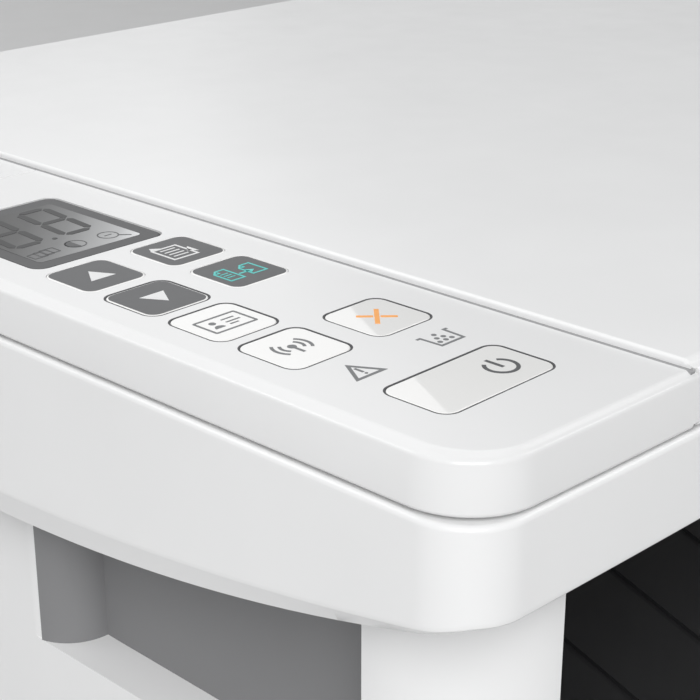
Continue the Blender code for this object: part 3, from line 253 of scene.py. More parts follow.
def shade(obj, angle=45.0):
    obj.data.shade_smooth()
    obj.data.set_sharp_from_angle(angle=math.radians(angle))
    change = obj.modifiers.new("normals", "WEIGHTED_NORMAL")
    change.keep_sharp = True
    change.weight = 90
    return obj


def piece(obj, name, look, body, nodes=(), edge=0.0, angle=45.0, edge_angle=40.0):
    """Names a finished piece, gives it its material, and ties it to its CAD body and nodes."""
    obj.name = obj.data.name = name
    obj.data.materials.clear()
    obj.data.materials.append(look)
    if edge:
        soften(obj, edge, edge_angle)
        bake(obj)
    shade(obj, angle)
    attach(obj, body)
    if nodes:
        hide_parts(*nodes)
    return obj


# ---------------------------------------------------------------- materials
def moulded(
    name, colour, roughness, grain=0.25, grain_size=0.45, tone=0.012, coat=0.0, metallic=0.0, coat_rough=0.12
):
    """Injection-moulded plastic: fine spark-eroded grain, slight flow marks, uneven gloss. Sizes in mm."""
    look = bpy.data.materials.new(name)
    look.use_nodes = True
    tree = look.node_tree
    shader = tree.nodes["Principled BSDF"]
    shader.inputs["Metallic"].default_value = metallic
    shader.inputs["Coat Weight"].default_value = coat
    shader.inputs["Coat Roughness"].default_value = coat_rough
    place = tree.nodes.new("ShaderNodeTexCoord")

    def noise(scale_mm, detail):
        made = tree.nodes.new("ShaderNodeTexNoise")
        made.inputs["Scale"].default_value = 1.0 / (scale_mm * MM)
        made.inputs["Detail"].default_value = detail
        tree.links.new(place.outputs["Object"], made.inputs["Vector"])
        return made

    flow = noise(34.0, 2.0)
    ramp = tree.nodes.new("ShaderNodeValToRGB")
    ramp.color_ramp.elements[0].position = 0.3
    ramp.color_ramp.elements[1].position = 0.7
    ramp.color_ramp.elements[0].color = (*[c * (1 - tone) for c in colour], 1)
    ramp.color_ramp.elements[1].color = (*[min(c * (1 + tone), 1) for c in colour], 1)
    tree.links.new(flow.outputs["Fac"], ramp.inputs["Fac"])
    tree.links.new(ramp.outputs["Color"], shader.inputs["Base Color"])
    rough = tree.nodes.new("ShaderNodeMapRange")
    rough.inputs["To Min"].default_value = roughness - 0.03
    rough.inputs["To Max"].default_value = roughness + 0.03
    gloss = noise(9.0, 3.0)
    tree.links.new(gloss.outputs["Fac"], rough.inputs["Value"])
    tree.links.new(rough.outputs["Result"], shader.inputs["Roughness"])
    fine = noise(grain_size, 2.0)
    bump = tree.nodes.new("ShaderNodeBump")
    bump.inputs["Strength"].default_value = grain
    bump.inputs["Distance"].default_value = 0.02 * MM
    tree.links.new(fine.outputs["Fac"], bump.inputs["Height"])
    tree.links.new(bump.outputs["Normal"], shader.inputs["Normal"])
    return look


def brushed(name, colour, roughness=0.35):
    """Plated sheet steel with rolling marks."""
    look = moulded(name, colour, roughness, 0.4, 0.8, 0.05, metallic=0.95)
    tree = look.node_tree
    for node in tree.nodes:
        if node.bl_idname == "ShaderNodeTexNoise" and node.inputs["Scale"].default_value > 900:
            stretch = tree.nodes.new("ShaderNodeMapping")
            stretch.inputs["Scale"].default_value = (1.0, 0.06, 1.0)
            coordinates = [n for n in tree.nodes if n.bl_idname == "ShaderNodeTexCoord"][0]
            tree.links.new(coordinates.outputs["Object"], stretch.inputs["Vector"])
            tree.links.new(stretch.outputs["Vector"], node.inputs["Vector"])
    return look


WHITE = moulded("shell_white", (0.90, 0.90, 0.90), 0.25, 0.08, 0.5)
PANEL_WHITE = moulded("panel_white", (0.85, 0.85, 0.85), 0.22, 0.06, 0.5)
KEY_WHITE = moulded("key_white", (0.91, 0.905, 0.89), 0.24, 0.05, 0.4, coat=1.0, coat_rough=0.02)
KEY_DARK = moulded("key_dark", (0.074, 0.076, 0.080), 0.34, 0.10, 0.4, 0.03)
# grey strip for the gap between the panel strip and the lid: painted shade
SEAM_PAINTED_SHADE = moulded("seam_painted_shade", (0.36, 0.36, 0.365), 0.6, 0.2, 0.5)
# dark grey rings for the gaps round the keys: painted shade
KEY_GAP_SHADE = moulded("key_gap_ring", (0.075, 0.076, 0.080), 0.6, 0.2, 0.5)
BLACK = moulded("bin_black", (0.016, 0.016, 0.017), 0.42, 0.35, 0.6, 0.05)
GREY = moulded("grey_plastic", (0.10, 0.10, 0.105), 0.5, 0.3, 0.6, 0.04)
RUBBER = moulded("rubber", (0.022, 0.022, 0.022), 0.75, 0.5, 0.7, 0.06)
STEEL = brushed("zinc_steel", (0.60, 0.61, 0.63))
ACETAL = moulded("gear_acetal", (0.74, 0.73, 0.69), 0.42, 0.10, 0.6)
BOARD = moulded("circuit_green", (0.02, 0.13, 0.06), 0.35, 0.2, 0.5, 0.06, coat=0.4)
DRUM = moulded("drum_coating", (0.04, 0.26, 0.25), 0.12, 0.02, 0.5, 0.01, coat=0.6)
SLEEVE = moulded("fuser_sleeve", (0.09, 0.045, 0.03), 0.28, 0.05, 0.5)
FOAM = moulded("lid_sheet", (0.86, 0.86, 0.85), 0.55, 0.25, 0.9)
DISPLAY_FRAME = moulded("display_frame", (0.052, 0.053, 0.056), 0.38, 0.02, 0.5)
# grey sheet for the carry recess: painted shade, standing in for the shadow inside it
PAINTED_SHADE_SHEET = moulded("grip_painted_shade", (0.24, 0.24, 0.245), 0.6, 0.3, 0.6)
LENS = moulded("sensor_lens", (0.020, 0.021, 0.022), 0.16, 0.02, 0.5, coat=0.5)
INK_WHITE = moulded("ink_white", (0.86, 0.86, 0.86), 0.45, 0.05, 0.3)
INK_GREY = moulded("ink_grey", (0.19, 0.195, 0.20), 0.45, 0.05, 0.3, 0.03)
INK_DARK = moulded("ink_dark", (0.085, 0.088, 0.092), 0.45, 0.05, 0.3, 0.03)
INK_CYAN = moulded("ink_cyan", (0.10, 0.62, 0.58), 0.42, 0.05, 0.3)
INK_ORANGE = moulded("ink_orange", (1.0, 0.42, 0.10), 0.42, 0.05, 0.3)
LCD_FAINT = moulded("lcd_symbol", (0.07, 0.072, 0.075), 0.4, 0.02, 0.3)
LCD_INK = moulded("lcd_segment", (0.012, 0.013, 0.014), 0.4, 0.02, 0.3)


def lcd_glass_with_painted_reflection():
    """The display's window: grey, with a painted reflection that makes it lighter towards the front right."""
    look = moulded("lcd_window_painted_reflection", (0.20, 0.21, 0.215), 0.36, 0.02, 0.4, 0.0)
    tree = look.node_tree
    shader = tree.nodes["Principled BSDF"]
    place = [n for n in tree.nodes if n.bl_idname == "ShaderNodeTexCoord"][0]
    low, high = box("display_module")
    turn = tree.nodes.new("ShaderNodeMapping")
    turn.vector_type = "TEXTURE"
    turn.inputs["Location"].default_value = (low[0] * MM, high[1] * MM, 0)
    turn.inputs["Rotation"].default_value = (0, 0, math.radians(-46.5))
    turn.inputs["Scale"].default_value = (44 * MM, 44 * MM, 44 * MM)
    reflection_gradient = tree.nodes.new("ShaderNodeTexGradient")
    ramp = tree.nodes.new("ShaderNodeValToRGB")
    # painted reflection: the window's colour rises from near black to near white towards the front right
    reflection_stops = ((0.25, 0.03), (0.41, 0.06), (0.58, 0.17), (0.80, 0.46), (0.92, 0.90))
    while len(ramp.color_ramp.elements) < len(reflection_stops):
        ramp.color_ramp.elements.new(0.5)
    for element, (position, value) in zip(ramp.color_ramp.elements, reflection_stops):
        element.position = position
        element.color = (value, value * 1.01, value * 1.02, 1)
    tree.links.new(place.outputs["Object"], turn.inputs["Vector"])
    tree.links.new(turn.outputs["Vector"], reflection_gradient.inputs["Vector"])
    tree.links.new(reflection_gradient.outputs["Fac"], ramp.inputs["Fac"])
    tree.links.new(ramp.outputs["Color"], shader.inputs["Base Color"])
    return look


def clear_glass():
    look = bpy.data.materials.new("platen_glass")
    look.use_nodes = True
    tree = look.node_tree
    shader = tree.nodes["Principled BSDF"]
    shader.inputs["Base Color"].default_value = (0.86, 0.93, 0.91, 1)
    shader.inputs["Transmission Weight"].default_value = 0.95
    shader.inputs["IOR"].default_value = 1.5
    place = tree.nodes.new("ShaderNodeTexCoord")
    smear = tree.nodes.new("ShaderNodeTexNoise")
    smear.inputs["Scale"].default_value = 40.0
    tree.links.new(place.outputs["Object"], smear.inputs["Vector"])
    rough = tree.nodes.new("ShaderNodeMapRange")
    rough.inputs["To Min"].default_value = 0.01
    rough.inputs["To Max"].default_value = 0.05
    tree.links.new(smear.outputs["Fac"], rough.inputs["Value"])
    tree.links.new(rough.outputs["Result"], shader.inputs["Roughness"])
    return look


LCD_PAINTED_REFLECTION = lcd_glass_with_painted_reflection()
GLASS = clear_glass()


# ---------------------------------------------------------------- outlines of the scanner's layers
def front_line(x):
    """Y of the bowed front at this X."""
    return FRONT + BOW * (x / HALF_W) ** 2


def layer(front_radius, front_share=1.0, side_steps=1):
    """Outline of the whole printer in plan, as a function of the inset from its sides."""

    def outline(inset):
        dy = inset * front_share
        out = []
        middle = -HALF_W + front_radius
        base_y = front_line(middle) + front_radius
        rx, ry = max(front_radius - inset, 0.2), max(front_radius - dy, 0.2)
        for i in range(19):
            a = math.pi + math.pi / 2 * i / 18
            out.append((middle + rx * math.cos(a), base_y + ry * math.sin(a)))
        for i in range(1, 40):
            x = middle + (-2 * middle) * i / 40
            out.append((x, front_line(x) + dy))
        for i in range(19):
            a = -math.pi / 2 + math.pi / 2 * i / 18
            out.append((-middle + rx * math.cos(a), base_y + ry * math.sin(a)))
        r = max(REAR_R - inset, 0.2)
        cx, cy = HALF_W - REAR_R, BACK - REAR_R
        along = [base_y + (cy - base_y) * i / side_steps for i in range(1, side_steps)]
        out += [(HALF_W - inset, y) for y in along]
        out += arc((cx, cy), r, 0, 90, 10) + arc((-cx, cy), r, 90, 180, 10)
        out += [(-HALF_W + inset, y) for y in reversed(along)]
        return out

    return outline


def rounding(inset0, z0, inset1, z1, steps=5):
    """A quarter-ellipse of the profile, leaving the first point upwards and reaching the second level."""
    out = []
    for i in range(1, steps + 1):
        a = math.pi / 2 * i / steps
        out.append((inset0 + (inset1 - inset0) * (1 - math.cos(a)), z0 + (z1 - z0) * math.sin(a)))
    return out


def sweep(y):
    """Share of the way along the skirt's upward sweep: 0 behind it and 1 at the front."""
    return min(max((SWEEP_BACK - y) / (SWEEP_BACK - SWEEP_FRONT), 0.0), 1.0)


def skirt(y):
    """Z of the scanner base's lower edge: level at the back, and a parabola up to the front."""
    return SKIRT_LOW + (FRONT_LOW - SKIRT_LOW) * sweep(y) ** 2


# ---------------------------------------------------------------- control panel strip
STRIP_PROFILE = [
    (2.4, PANEL_BOTTOM),
    (1.0, PANEL_BOTTOM),
    (0.40, PANEL_BOTTOM + 0.32),
    (0.12, PANEL_BOTTOM + 0.85),
    (0.55, PANEL_Z - 3.6),
    (0.92, PANEL_Z - 1.45),
    *rounding(0.92, PANEL_Z - 1.45, 1.75, PANEL_Z - 0.62, 6),
    (2.2, PANEL_Z - 0.44),
    (2.75, PANEL_Z - 0.14),
    (3.1, PANEL_Z - 0.02),
    (3.5, PANEL_Z),
]


# in front of this Y the strip's rounded edge runs on to this X, past the lid's side
TONGUE_X, TONGUE_Y = -131.15, -127.7


def strip_cover(y0, y1):
    made = loft(layer(UPPER_R, 0.72), STRIP_PROFILE)
    keep = block((-FAR, y0, UNDER), (PANEL_RIGHT, y1, ABOVE))
    if y0 < TONGUE_Y:
        join(keep, block((-FAR, y0, UNDER), (TONGUE_X, TONGUE_Y, ABOVE)))
    combine(made, [keep], "INTERSECT")
    inside = prism(layer(UPPER_R, 0.8)(SKIN + 0.9), "Z", 100, PANEL_Z - SKIN)
    room = block((-FAR, y0 + SKIN, UNDER), (PANEL_RIGHT - SKIN, y1 - SKIN, ABOVE))
    combine(inside, [room], "INTERSECT")
    return cut(made, inside)


CAP_IN = 1.0  # from a key's flange in to its cap
CAP_LOW = 0.14  # the moulded cap stands this much lower than the CAD key


def slot_tool(node, gap=0.3, radius=2.6):
    """A cutter around a CAD key or display, a slot's gap larger than the key's cap."""
    low, high = box(node)
    grow = gap - CAP_IN if node.startswith("key_") else gap
    outline = rounded((low[0] - grow, low[1] - grow), (high[0] + grow, high[1] + grow), radius, 10)
    return prism(outline, "Z", PANEL_Z - 8, PANEL_Z + 5)


DARK_KEYS = ("key_up", "key_down", "key_copy_setup", "key_start_copy")
KEYS = [n for n in frame["nodes"] if n.startswith("key_")]

panel = strip_cover(-FAR, PANEL_BACK)
# the notch in the lower edge at the tongue
cut(panel, block((PANEL_RIGHT - 0.2, -FAR, UNDER), (TONGUE_X + 1, -120, PANEL_BOTTOM + 0.9)))
cut(panel, *[slot_tool(n, 0.32) for n in KEYS], slot_tool("display_module", 0.25, 2.6))
piece(panel, "panel_shell", PANEL_WHITE, "scanner", ["control_panel"], 0.14)

rear_strip = strip_cover(box("panel_rear_cover")[0][1], FAR)
piece(rear_strip, "panel_rear_shell", PANEL_WHITE, "scanner", ["panel_rear_cover"], 0.18)


# a grey strip in the gap between the panel strip and the lid: painted shade, standing in for the shadow in
# the gap
seam_shade_block = block(
    (PANEL_RIGHT - 0.05, TONGUE_Y - 0.5, PANEL_Z - 3.0), (LID_LEFT - 0.06, BACK - 10, PANEL_Z - 0.15)
)
piece(seam_shade_block, "seam_painted_shade", SEAM_PAINTED_SHADE, "scanner", ())


def key_centre(node):
    low, high = box(node)
    return (low[0] + high[0]) / 2, (low[1] + high[1]) / 2


def key_cap(node):
    """A keycap with its flange and stem: a rounded cap that stands just out of the panel."""
    low, high = box(node)
    x0, y0, x1, y1 = low[0] + CAP_IN, low[1] + CAP_IN, high[0] - CAP_IN, high[1] - CAP_IN
    top = high[2] - CAP_LOW
    under = PANEL_Z - SKIN - 0.4

    def outline(inset):
        return rounded((x0 + inset, y0 + inset), (x1 - inset, y1 - inset), max(2.3 - inset, 0.3), 10)

    profile = [(-0.75, under - 1.6), (-0.75, under), (0.0, under), (0.0, top - 0.26)]
    profile += rounding(0.0, top - 0.26, 0.2, top - 0.02, 5) + [(0.32, top)]
    cap = loft(outline, profile)
    x, y = key_centre(node)
    stem = rod((x, y, low[2]), (x, y, under - 1.0), 2.4, 20)
    return join(cap, stem)


def key_gap_ring(node):
    """A ring in the gap between the keycap and the panel, just under the panel's face; in dark grey it is
    painted shade, standing in for the shadow in the gap.
    """
    low, high = box(node)

    def outline(grow):
        edge = CAP_IN - grow
        return rounded((low[0] + edge, low[1] + edge), (high[0] - edge, high[1] - edge), 2.3 + grow, 10)

    ring = prism(outline(0.36), "Z", PANEL_Z - 0.9, PANEL_Z - 0.015)
    return cut(ring, prism(outline(0.03), "Z", PANEL_Z - 2, PANEL_Z + 1))


for node in KEYS:
    slot = "dark_key" if node in DARK_KEYS else "white_key"
    piece(key_cap(node), node.replace("key_", "keycap_"), KEY_WHITE, node, [node])
    # three of the dark keys have a ring in the white of the panel; the others get a dark grey ring, painted
    # shade for the shadow in the gap round the cap
    painted_shade_ring = slot == "white_key" or node == "key_down"
    look, slot = (KEY_GAP_SHADE, "dark_key") if painted_shade_ring else (PANEL_WHITE, "white_key")
    piece(key_gap_ring(node), node.replace("key_", "gap_ring_"), look, "scanner", ())


# ---------------------------------------------------------------- printed icons
def ink(name, look, body, z, build, thick=0.035):
    """Thin printed shapes on a face at height z. build(bm, z0, z1) adds closed prisms to the mesh."""
    bm = bmesh.new()
    build(bm, z, z + thick)
    obj = new_object(name, bm)
    obj.name = obj.data.name = name
    obj.data.materials.append(look)
    obj.data.shade_flat()
    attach(obj, body)
    return obj


def area(bm, points, z0, z1):
    add_prism(bm, points, "Z", z0, z1)


def line(bm, points, width, z0, z1, closed=False):
    """A drawn line of even width, with mitred corners."""
    n = len(points)
    left, right = [], []
    for i, p in enumerate(points):
        before = points[(i - 1) % n] if closed or i else None
        after = points[(i + 1) % n] if closed or i < n - 1 else None
        p = Vector(p)
        a = (p - Vector(before)).normalized() if before else (Vector(after) - p).normalized()
        b = (Vector(after) - p).normalized() if after else a
        normal_a, normal_b = Vector((-a.y, a.x)), Vector((-b.y, b.x))
        mitre = (normal_a + normal_b).normalized()
        reach = width / 2 / max(mitre.dot(normal_a), 0.5)
        left.append(p + mitre * reach)
        right.append(p - mitre * reach)
    rows = []
    for z in (z0, z1):
        rows.append([[bm.verts.new((q.x, q.y, z)) for q in side] for side in (left, right)])
    (l0, r0), (l1, r1) = rows
    last = n if closed else n - 1
    for i in range(last):
        j = (i + 1) % n
        bm.faces.new((l1[i], l1[j], r1[j], r1[i]))
        bm.faces.new((l0[i], r0[i], r0[j], l0[j]))
        bm.faces.new((l0[i], l0[j], l1[j], l1[i]))
        bm.faces.new((r0[j], r0[i], r1[i], r1[j]))
    if not closed:
        bm.faces.new((l0[0], l1[0], r1[0], r0[0]))
        bm.faces.new((l0[-1], r0[-1], r1[-1], l1[-1]))


def disc(bm, centre, radius, z0, z1, steps=24):
    area(bm, arc(centre, radius, 0, 360 - 360 / steps, steps - 1), z0, z1)


KEY_TOP = box("key_up")[1][2] - CAP_LOW
FACE = 12.2  # printed dark field of a dark key


def dark_face(node):
    x, y = key_centre(node)
    h = FACE / 2
    return lambda bm, z0, z1: area(bm, rounded((x - h, y - h), (x + h, y + h), 1.9, 8), z0, z1)


for node in DARK_KEYS:
    ink(node + "_face", KEY_DARK, node, KEY_TOP, dark_face(node), 0.03)
DARK_TOP = KEY_TOP + 0.03


def arrow_up(bm, z0, z1):
    x, y = key_centre("key_up")
    area(bm, [(x - 2.4, y - 1.9), (x + 2.7, y - 1.9), (x + 0.3, y + 2.4)], z0, z1)


def arrow_down(bm, z0, z1):
    x, y = key_centre("key_down")
    area(bm, [(x - 2.2, y + 1.8), (x + 2.8, y + 1.8), (x + 0.4, y - 2.4)], z0, z1)


def sheet_icon(bm, x0, y0, x1, y1, z0, z1, fold=1.1, width=0.38):
    """A page with its top left corner folded."""
    fx, fy = x0 + fold, y1 - fold
    line(bm, [(x0, y0), (x1, y0), (x1, y1), (fx, y1), (x0, fy)], width, z0, z1, True)
    line(bm, [(x0 + width, fy), (fx, fy), (fx, y1 - width)], width * 0.8, z0, z1)


def copy_setup(bm, z0, z1):
    x, y = key_centre("key_copy_setup")
    left, right, low, high = x - 3.6, x + 1.7, y - 3.4, y + 2.7
    line(bm, [(left, low), (right, low), (right, high), (left, high)], 0.45, z0, z1, True)
    for i in range(4):
        line(bm, [(x - 2.6, y + 1.6 - i * 1.2), (x + 0.7, y + 1.6 - i * 1.2)], 0.34, z0, z1)
    area(bm, [(x + 1.2, y - 1.0), (x + 2.7, y + 0.7), (x + 2.7, y - 2.5)], z0, z1)
    area(bm, [(x - 3.6, y + 2.9), (x - 1.3, y + 2.9), (x - 3.0, y + 4.2)], z0, z1)


def start_copy(bm, z0, z1):
    x, y = key_centre("key_start_copy")
    sheet_icon(bm, x - 4.4, y - 2.8, x - 1.4, y + 2.5, z0, z1)
    sheet_icon(bm, x + 0.8, y - 2.55, x + 3.9, y + 2.05, z0, z1)
    for i in range(3):
        line(bm, [(x - 3.8, y + 0.6 - i * 0.9), (x - 2.1, y + 0.6 - i * 0.9)], 0.28, z0, z1)
    line(bm, [(x - 1.0, y - 1.0), (x + 1.3, y - 1.0)], 0.45, z0, z1)
    area(bm, [(x + 1.1, y - 0.1), (x + 2.4, y - 1.0), (x + 1.1, y - 1.9)], z0, z1)


def id_card(bm, z0, z1):
    line(bm, rounded((-169.1, -67.85), (-160.8, -62.4), 0.15, 2), 0.44, z0, z1, True)
    disc(bm, (-166.9, -64.3), 0.6, z0, z1)
    area(bm, arc((-167.0, -66.5), 1.0, 0, 180, 12), z0, z1)
    for y, end in ((-64.05, -162.3), (-65.26, -162.0), (-66.25, -163.15)):
        line(bm, [(-164.9, y), (end, y)], 0.35, z0, z1)


def radio(bm, z0, z1):
    x, y = -165.06, -79.9
    disc(bm, (x, y), 0.75, z0, z1)
    line(bm, [(x, y - 0.72), (x, y - 2.75)], 0.55, z0, z1)
    for side in (0, 180):
        for r in (1.9, 3.1):
            line(bm, arc((x, y), r, side - 42, side + 42, 10), 0.55, z0, z1)


def cross(bm, z0, z1):
    x, y = -147.0, -80.4
    line(bm, [(x - 2.3, y - 2.3), (x + 2.3, y + 2.3)], 0.8, z0, z1)
    for s in (-1, 1):
        line(bm, [(x - s * 2.3, y + s * 2.3), (x - s * 0.41, y + s * 0.41)], 0.8, z0, z1)


def power(bm, z0, z1):
    x, y = -149.57, -107.15
    line(bm, arc((x, y), 2.5, 125, 415, 40), 0.65, z0, z1)
    line(bm, [(x, y - 0.45), (x, y + 3.0)], 0.65, z0, z1)


def attention(bm, z0, z1):
    x = -164.9
    line(bm, [(x - 2.75, -95.75), (x + 2.75, -95.75), (x, -91.15)], 0.6, z0, z1, True)
    line(bm, [(x, -94.3), (x, -92.5)], 0.5, z0, z1)
    disc(bm, (x, -94.85), 0.28, z0, z1, 12)


def toner(bm, z0, z1):
    x = -146.9
    cup = [(-3.5, -91.6), (-2.7, -91.6), (-2.5, -95.8), (2.5, -95.8), (2.7, -91.6), (3.5, -91.6)]
    line(bm, [(x + dx, y) for dx, y in cup], 0.5, z0, z1)
    rows = {-92.04: (-0.04,), -93.31: (-0.83,), -93.42: (0.55,), -94.6: (-1.54, 1.17), -94.56: (-0.16,)}
    for y, places in rows.items():
        for dx in places:
            disc(bm, (x + dx, y), 0.45, z0, z1, 12)


ink("icon_up", INK_WHITE, "key_up", DARK_TOP, arrow_up)
ink("icon_down", INK_WHITE, "key_down", DARK_TOP, arrow_down)
ink("icon_copy_setup", INK_WHITE, "key_copy_setup", DARK_TOP, copy_setup)
ink("icon_start_copy", INK_CYAN, "key_start_copy", DARK_TOP, start_copy)
ink("icon_id_copy", INK_GREY, "key_id_copy", KEY_TOP, id_card)
ink("icon_wireless", INK_GREY, "key_wireless", KEY_TOP, radio)
ink("icon_cancel", INK_ORANGE, "key_cancel", KEY_TOP, cross)
ink("icon_power", INK_DARK, "key_power", KEY_TOP, power)
ink("icon_attention", INK_GREY, "scanner", PANEL_Z, attention)
ink("icon_toner", INK_GREY, "scanner", PANEL_Z, toner)


# ---------------------------------------------------------------- display
def display():
    low, high = box("display_module")

    def outline(inset):
        corners = (low[0] + inset, low[1] + inset), (high[0] - inset, high[1] - inset)
        return rounded(*corners, max(2.4 - inset, 0.3), 10)

    top = high[2]
    profile = [(0.0, low[2]), (0.0, top - 0.35), *rounding(0.0, top - 0.35, 0.35, top, 5)]
    bezel = loft(outline, profile)
    piece(bezel, "display_bezel", DISPLAY_FRAME, "scanner", ["display_module"])
    window = rounded((-167.4, -21.1), (-145.0, 6.0), 0.8, 4)
    ink("display_window", LCD_PAINTED_REFLECTION, "scanner", top, lambda bm, a, b: area(bm, window, a, b))
    z = top + 0.035

    def segment(bm, a, b, half, z0, z1):
        """One bar of a digit, pointed at both ends."""
        a, b = Vector(a), Vector(b)
        along = (b - a).normalized()
        across = Vector((-along.y, along.x)) * half
        inner_a, inner_b = a + along * half, b - along * half
        area(bm, [a, inner_a + across, inner_b + across, b, inner_b - across, inner_a - across], z0, z1)

    def digit(bm, x, y, width, height, z0, z1):
        slant = math.tan(math.radians(4.6))

        def at(u, v):
            return (x + u * width + v * height * slant, y + v * height)

        across = [((0, v), (1, v)) for v in (1, 0, 0.5)]
        upright = [((u, v), (u, v + 0.5)) for u, v in ((0, 0.5), (1, 0.5), (0, 0), (1, 0))]
        for start, end in across + upright:
            p, q = Vector(at(*start)), Vector(at(*end))
            step = (q - p).normalized() * 0.24
            segment(bm, p + step, q - step, 0.75, z0, z1)

    def digits(bm, z0, z1):
        digit(bm, -154.8, -11.6, 5.8, 16.0, z0, z1)
        digit(bm, -165.6, -11.6, 5.8, 16.0, z0, z1)
        disc(bm, (-157.4, -12.0), 0.5, z0, z1, 16)

    def symbols(bm, z0, z1):
        for i in range(3):
            page = rounded((-166.7 + i * 1.5, -18.9 + i * 0.3), (-163.9 + i * 1.5, -16.4 + i * 0.3), 0.2, 2)
            line(bm, page, 0.25, z0, z1, True)
        line(bm, arc((-156.7, -17.1), 1.92, 0, 345, 23), 0.25, z0, z1, True)
        area(bm, arc((-156.7, -17.1), 1.95, 90, 270, 12), z0, z1)
        line(bm, arc((-149.6, -17.25), 1.88, 0, 345, 23), 0.25, z0, z1, True)
        line(bm, [(-150.4, -17.25), (-148.8, -17.25)], 0.25, z0, z1)
        line(bm, [(-148.1, -18.6), (-146.5, -20.1)], 0.4, z0, z1)

    ink("display_digits", LCD_INK, "scanner", z, digits)
    ink("display_symbols", LCD_FAINT, "scanner", z, symbols)


display()


# ---------------------------------------------------------------- lid
LID_AXIS = (126.0, 189.0)
HINGES = [n for n in frame["nodes"] if n.startswith("lid_hinge_")]


def lid():
    profile = [
        (SKIN, PANEL_BOTTOM),
        (1.0, PANEL_BOTTOM),
        (0.40, PANEL_BOTTOM + 0.32),
        (0.1, PANEL_BOTTOM + 0.85),
        (0.75, TOP - 2.9),
        *rounding(0.75, TOP - 2.9, 2.5, TOP - 0.75, 8),
        (3.1, TOP - 0.55),
        (3.7, TOP - 0.2),
        (4.2, TOP - 0.05),
        (4.9, TOP),
    ]
    made = loft(layer(UPPER_R, 0.8), profile)
    combine(made, [block((LID_LEFT, -FAR, UNDER), (FAR, FAR, ABOVE))], "INTERSECT")
    # below its top plate the lid leaves room for the strip's tongue
    cut(made, block((-FAR, -FAR, UNDER), (TONGUE_X + 0.25, TONGUE_Y + 0.3, PANEL_Z + 0.08)))
    round_edges(made, lambda p: abs(p.x / MM - LID_LEFT) < 0.02 and p.z / MM > PANEL_Z + 0.3, 0.6)
    hollow = prism(layer(UPPER_R, 0.8)(SKIN + 0.6), "Z", 100, TOP - SKIN)
    combine(hollow, [block((LID_LEFT + SKIN, -FAR, UNDER), (FAR, FAR, ABOVE))], "INTERSECT")
    cut(hollow, block((-FAR, -FAR, UNDER), (TONGUE_X + SKIN, TONGUE_Y + SKIN, ABOVE)))
    notches, lugs, bores = [], [], []
    for node in HINGES:
        low, high = box(node)
        x = (low[0] + high[0]) / 2
        notches.append(block((x - 12, BACK - 5, 150), (x + 12, BACK + 2, PANEL_BOTTOM + 6.7)))
        outline = arc(LID_AXIS, 3.3, 180, 360, 12)
        outline += [(LID_AXIS[0] + 3.3, TOP - 1.2), (LID_AXIS[0] - 3.3, TOP - 1.2)]
        lugs.append(prism(outline, "X", x - 5, x + 5))
        bores.append(rod((x - 8, *LID_AXIS), (x + 8, *LID_AXIS), 2.2, 24))
    cut(made, hollow, *notches)
    join(made, *lugs)
    cut(made, *bores)
    piece(made, "lid_shell", WHITE, "lid", ["lid_cover"], 0.42)
    low, high = box("lid_pad")
    pad = soft_block(low, high, 0.8, 3)
    piece(pad, "lid_sheet_pad", FOAM, "lid", ["lid_pad"])


lid()


# ---------------------------------------------------------------- scanner base
LIFT = (124.0, 156.0)  # Y and Z of the axis on which the scanner lifts
LIFT_R = 4.5
SHELL_T = 2.6
DECK_LOW = RIM_Z - 5.2
PAN_Z = 166.0
LIP_SIDE, LIP_FRONT = 4.75, 0.5
RIM_R = 0.95


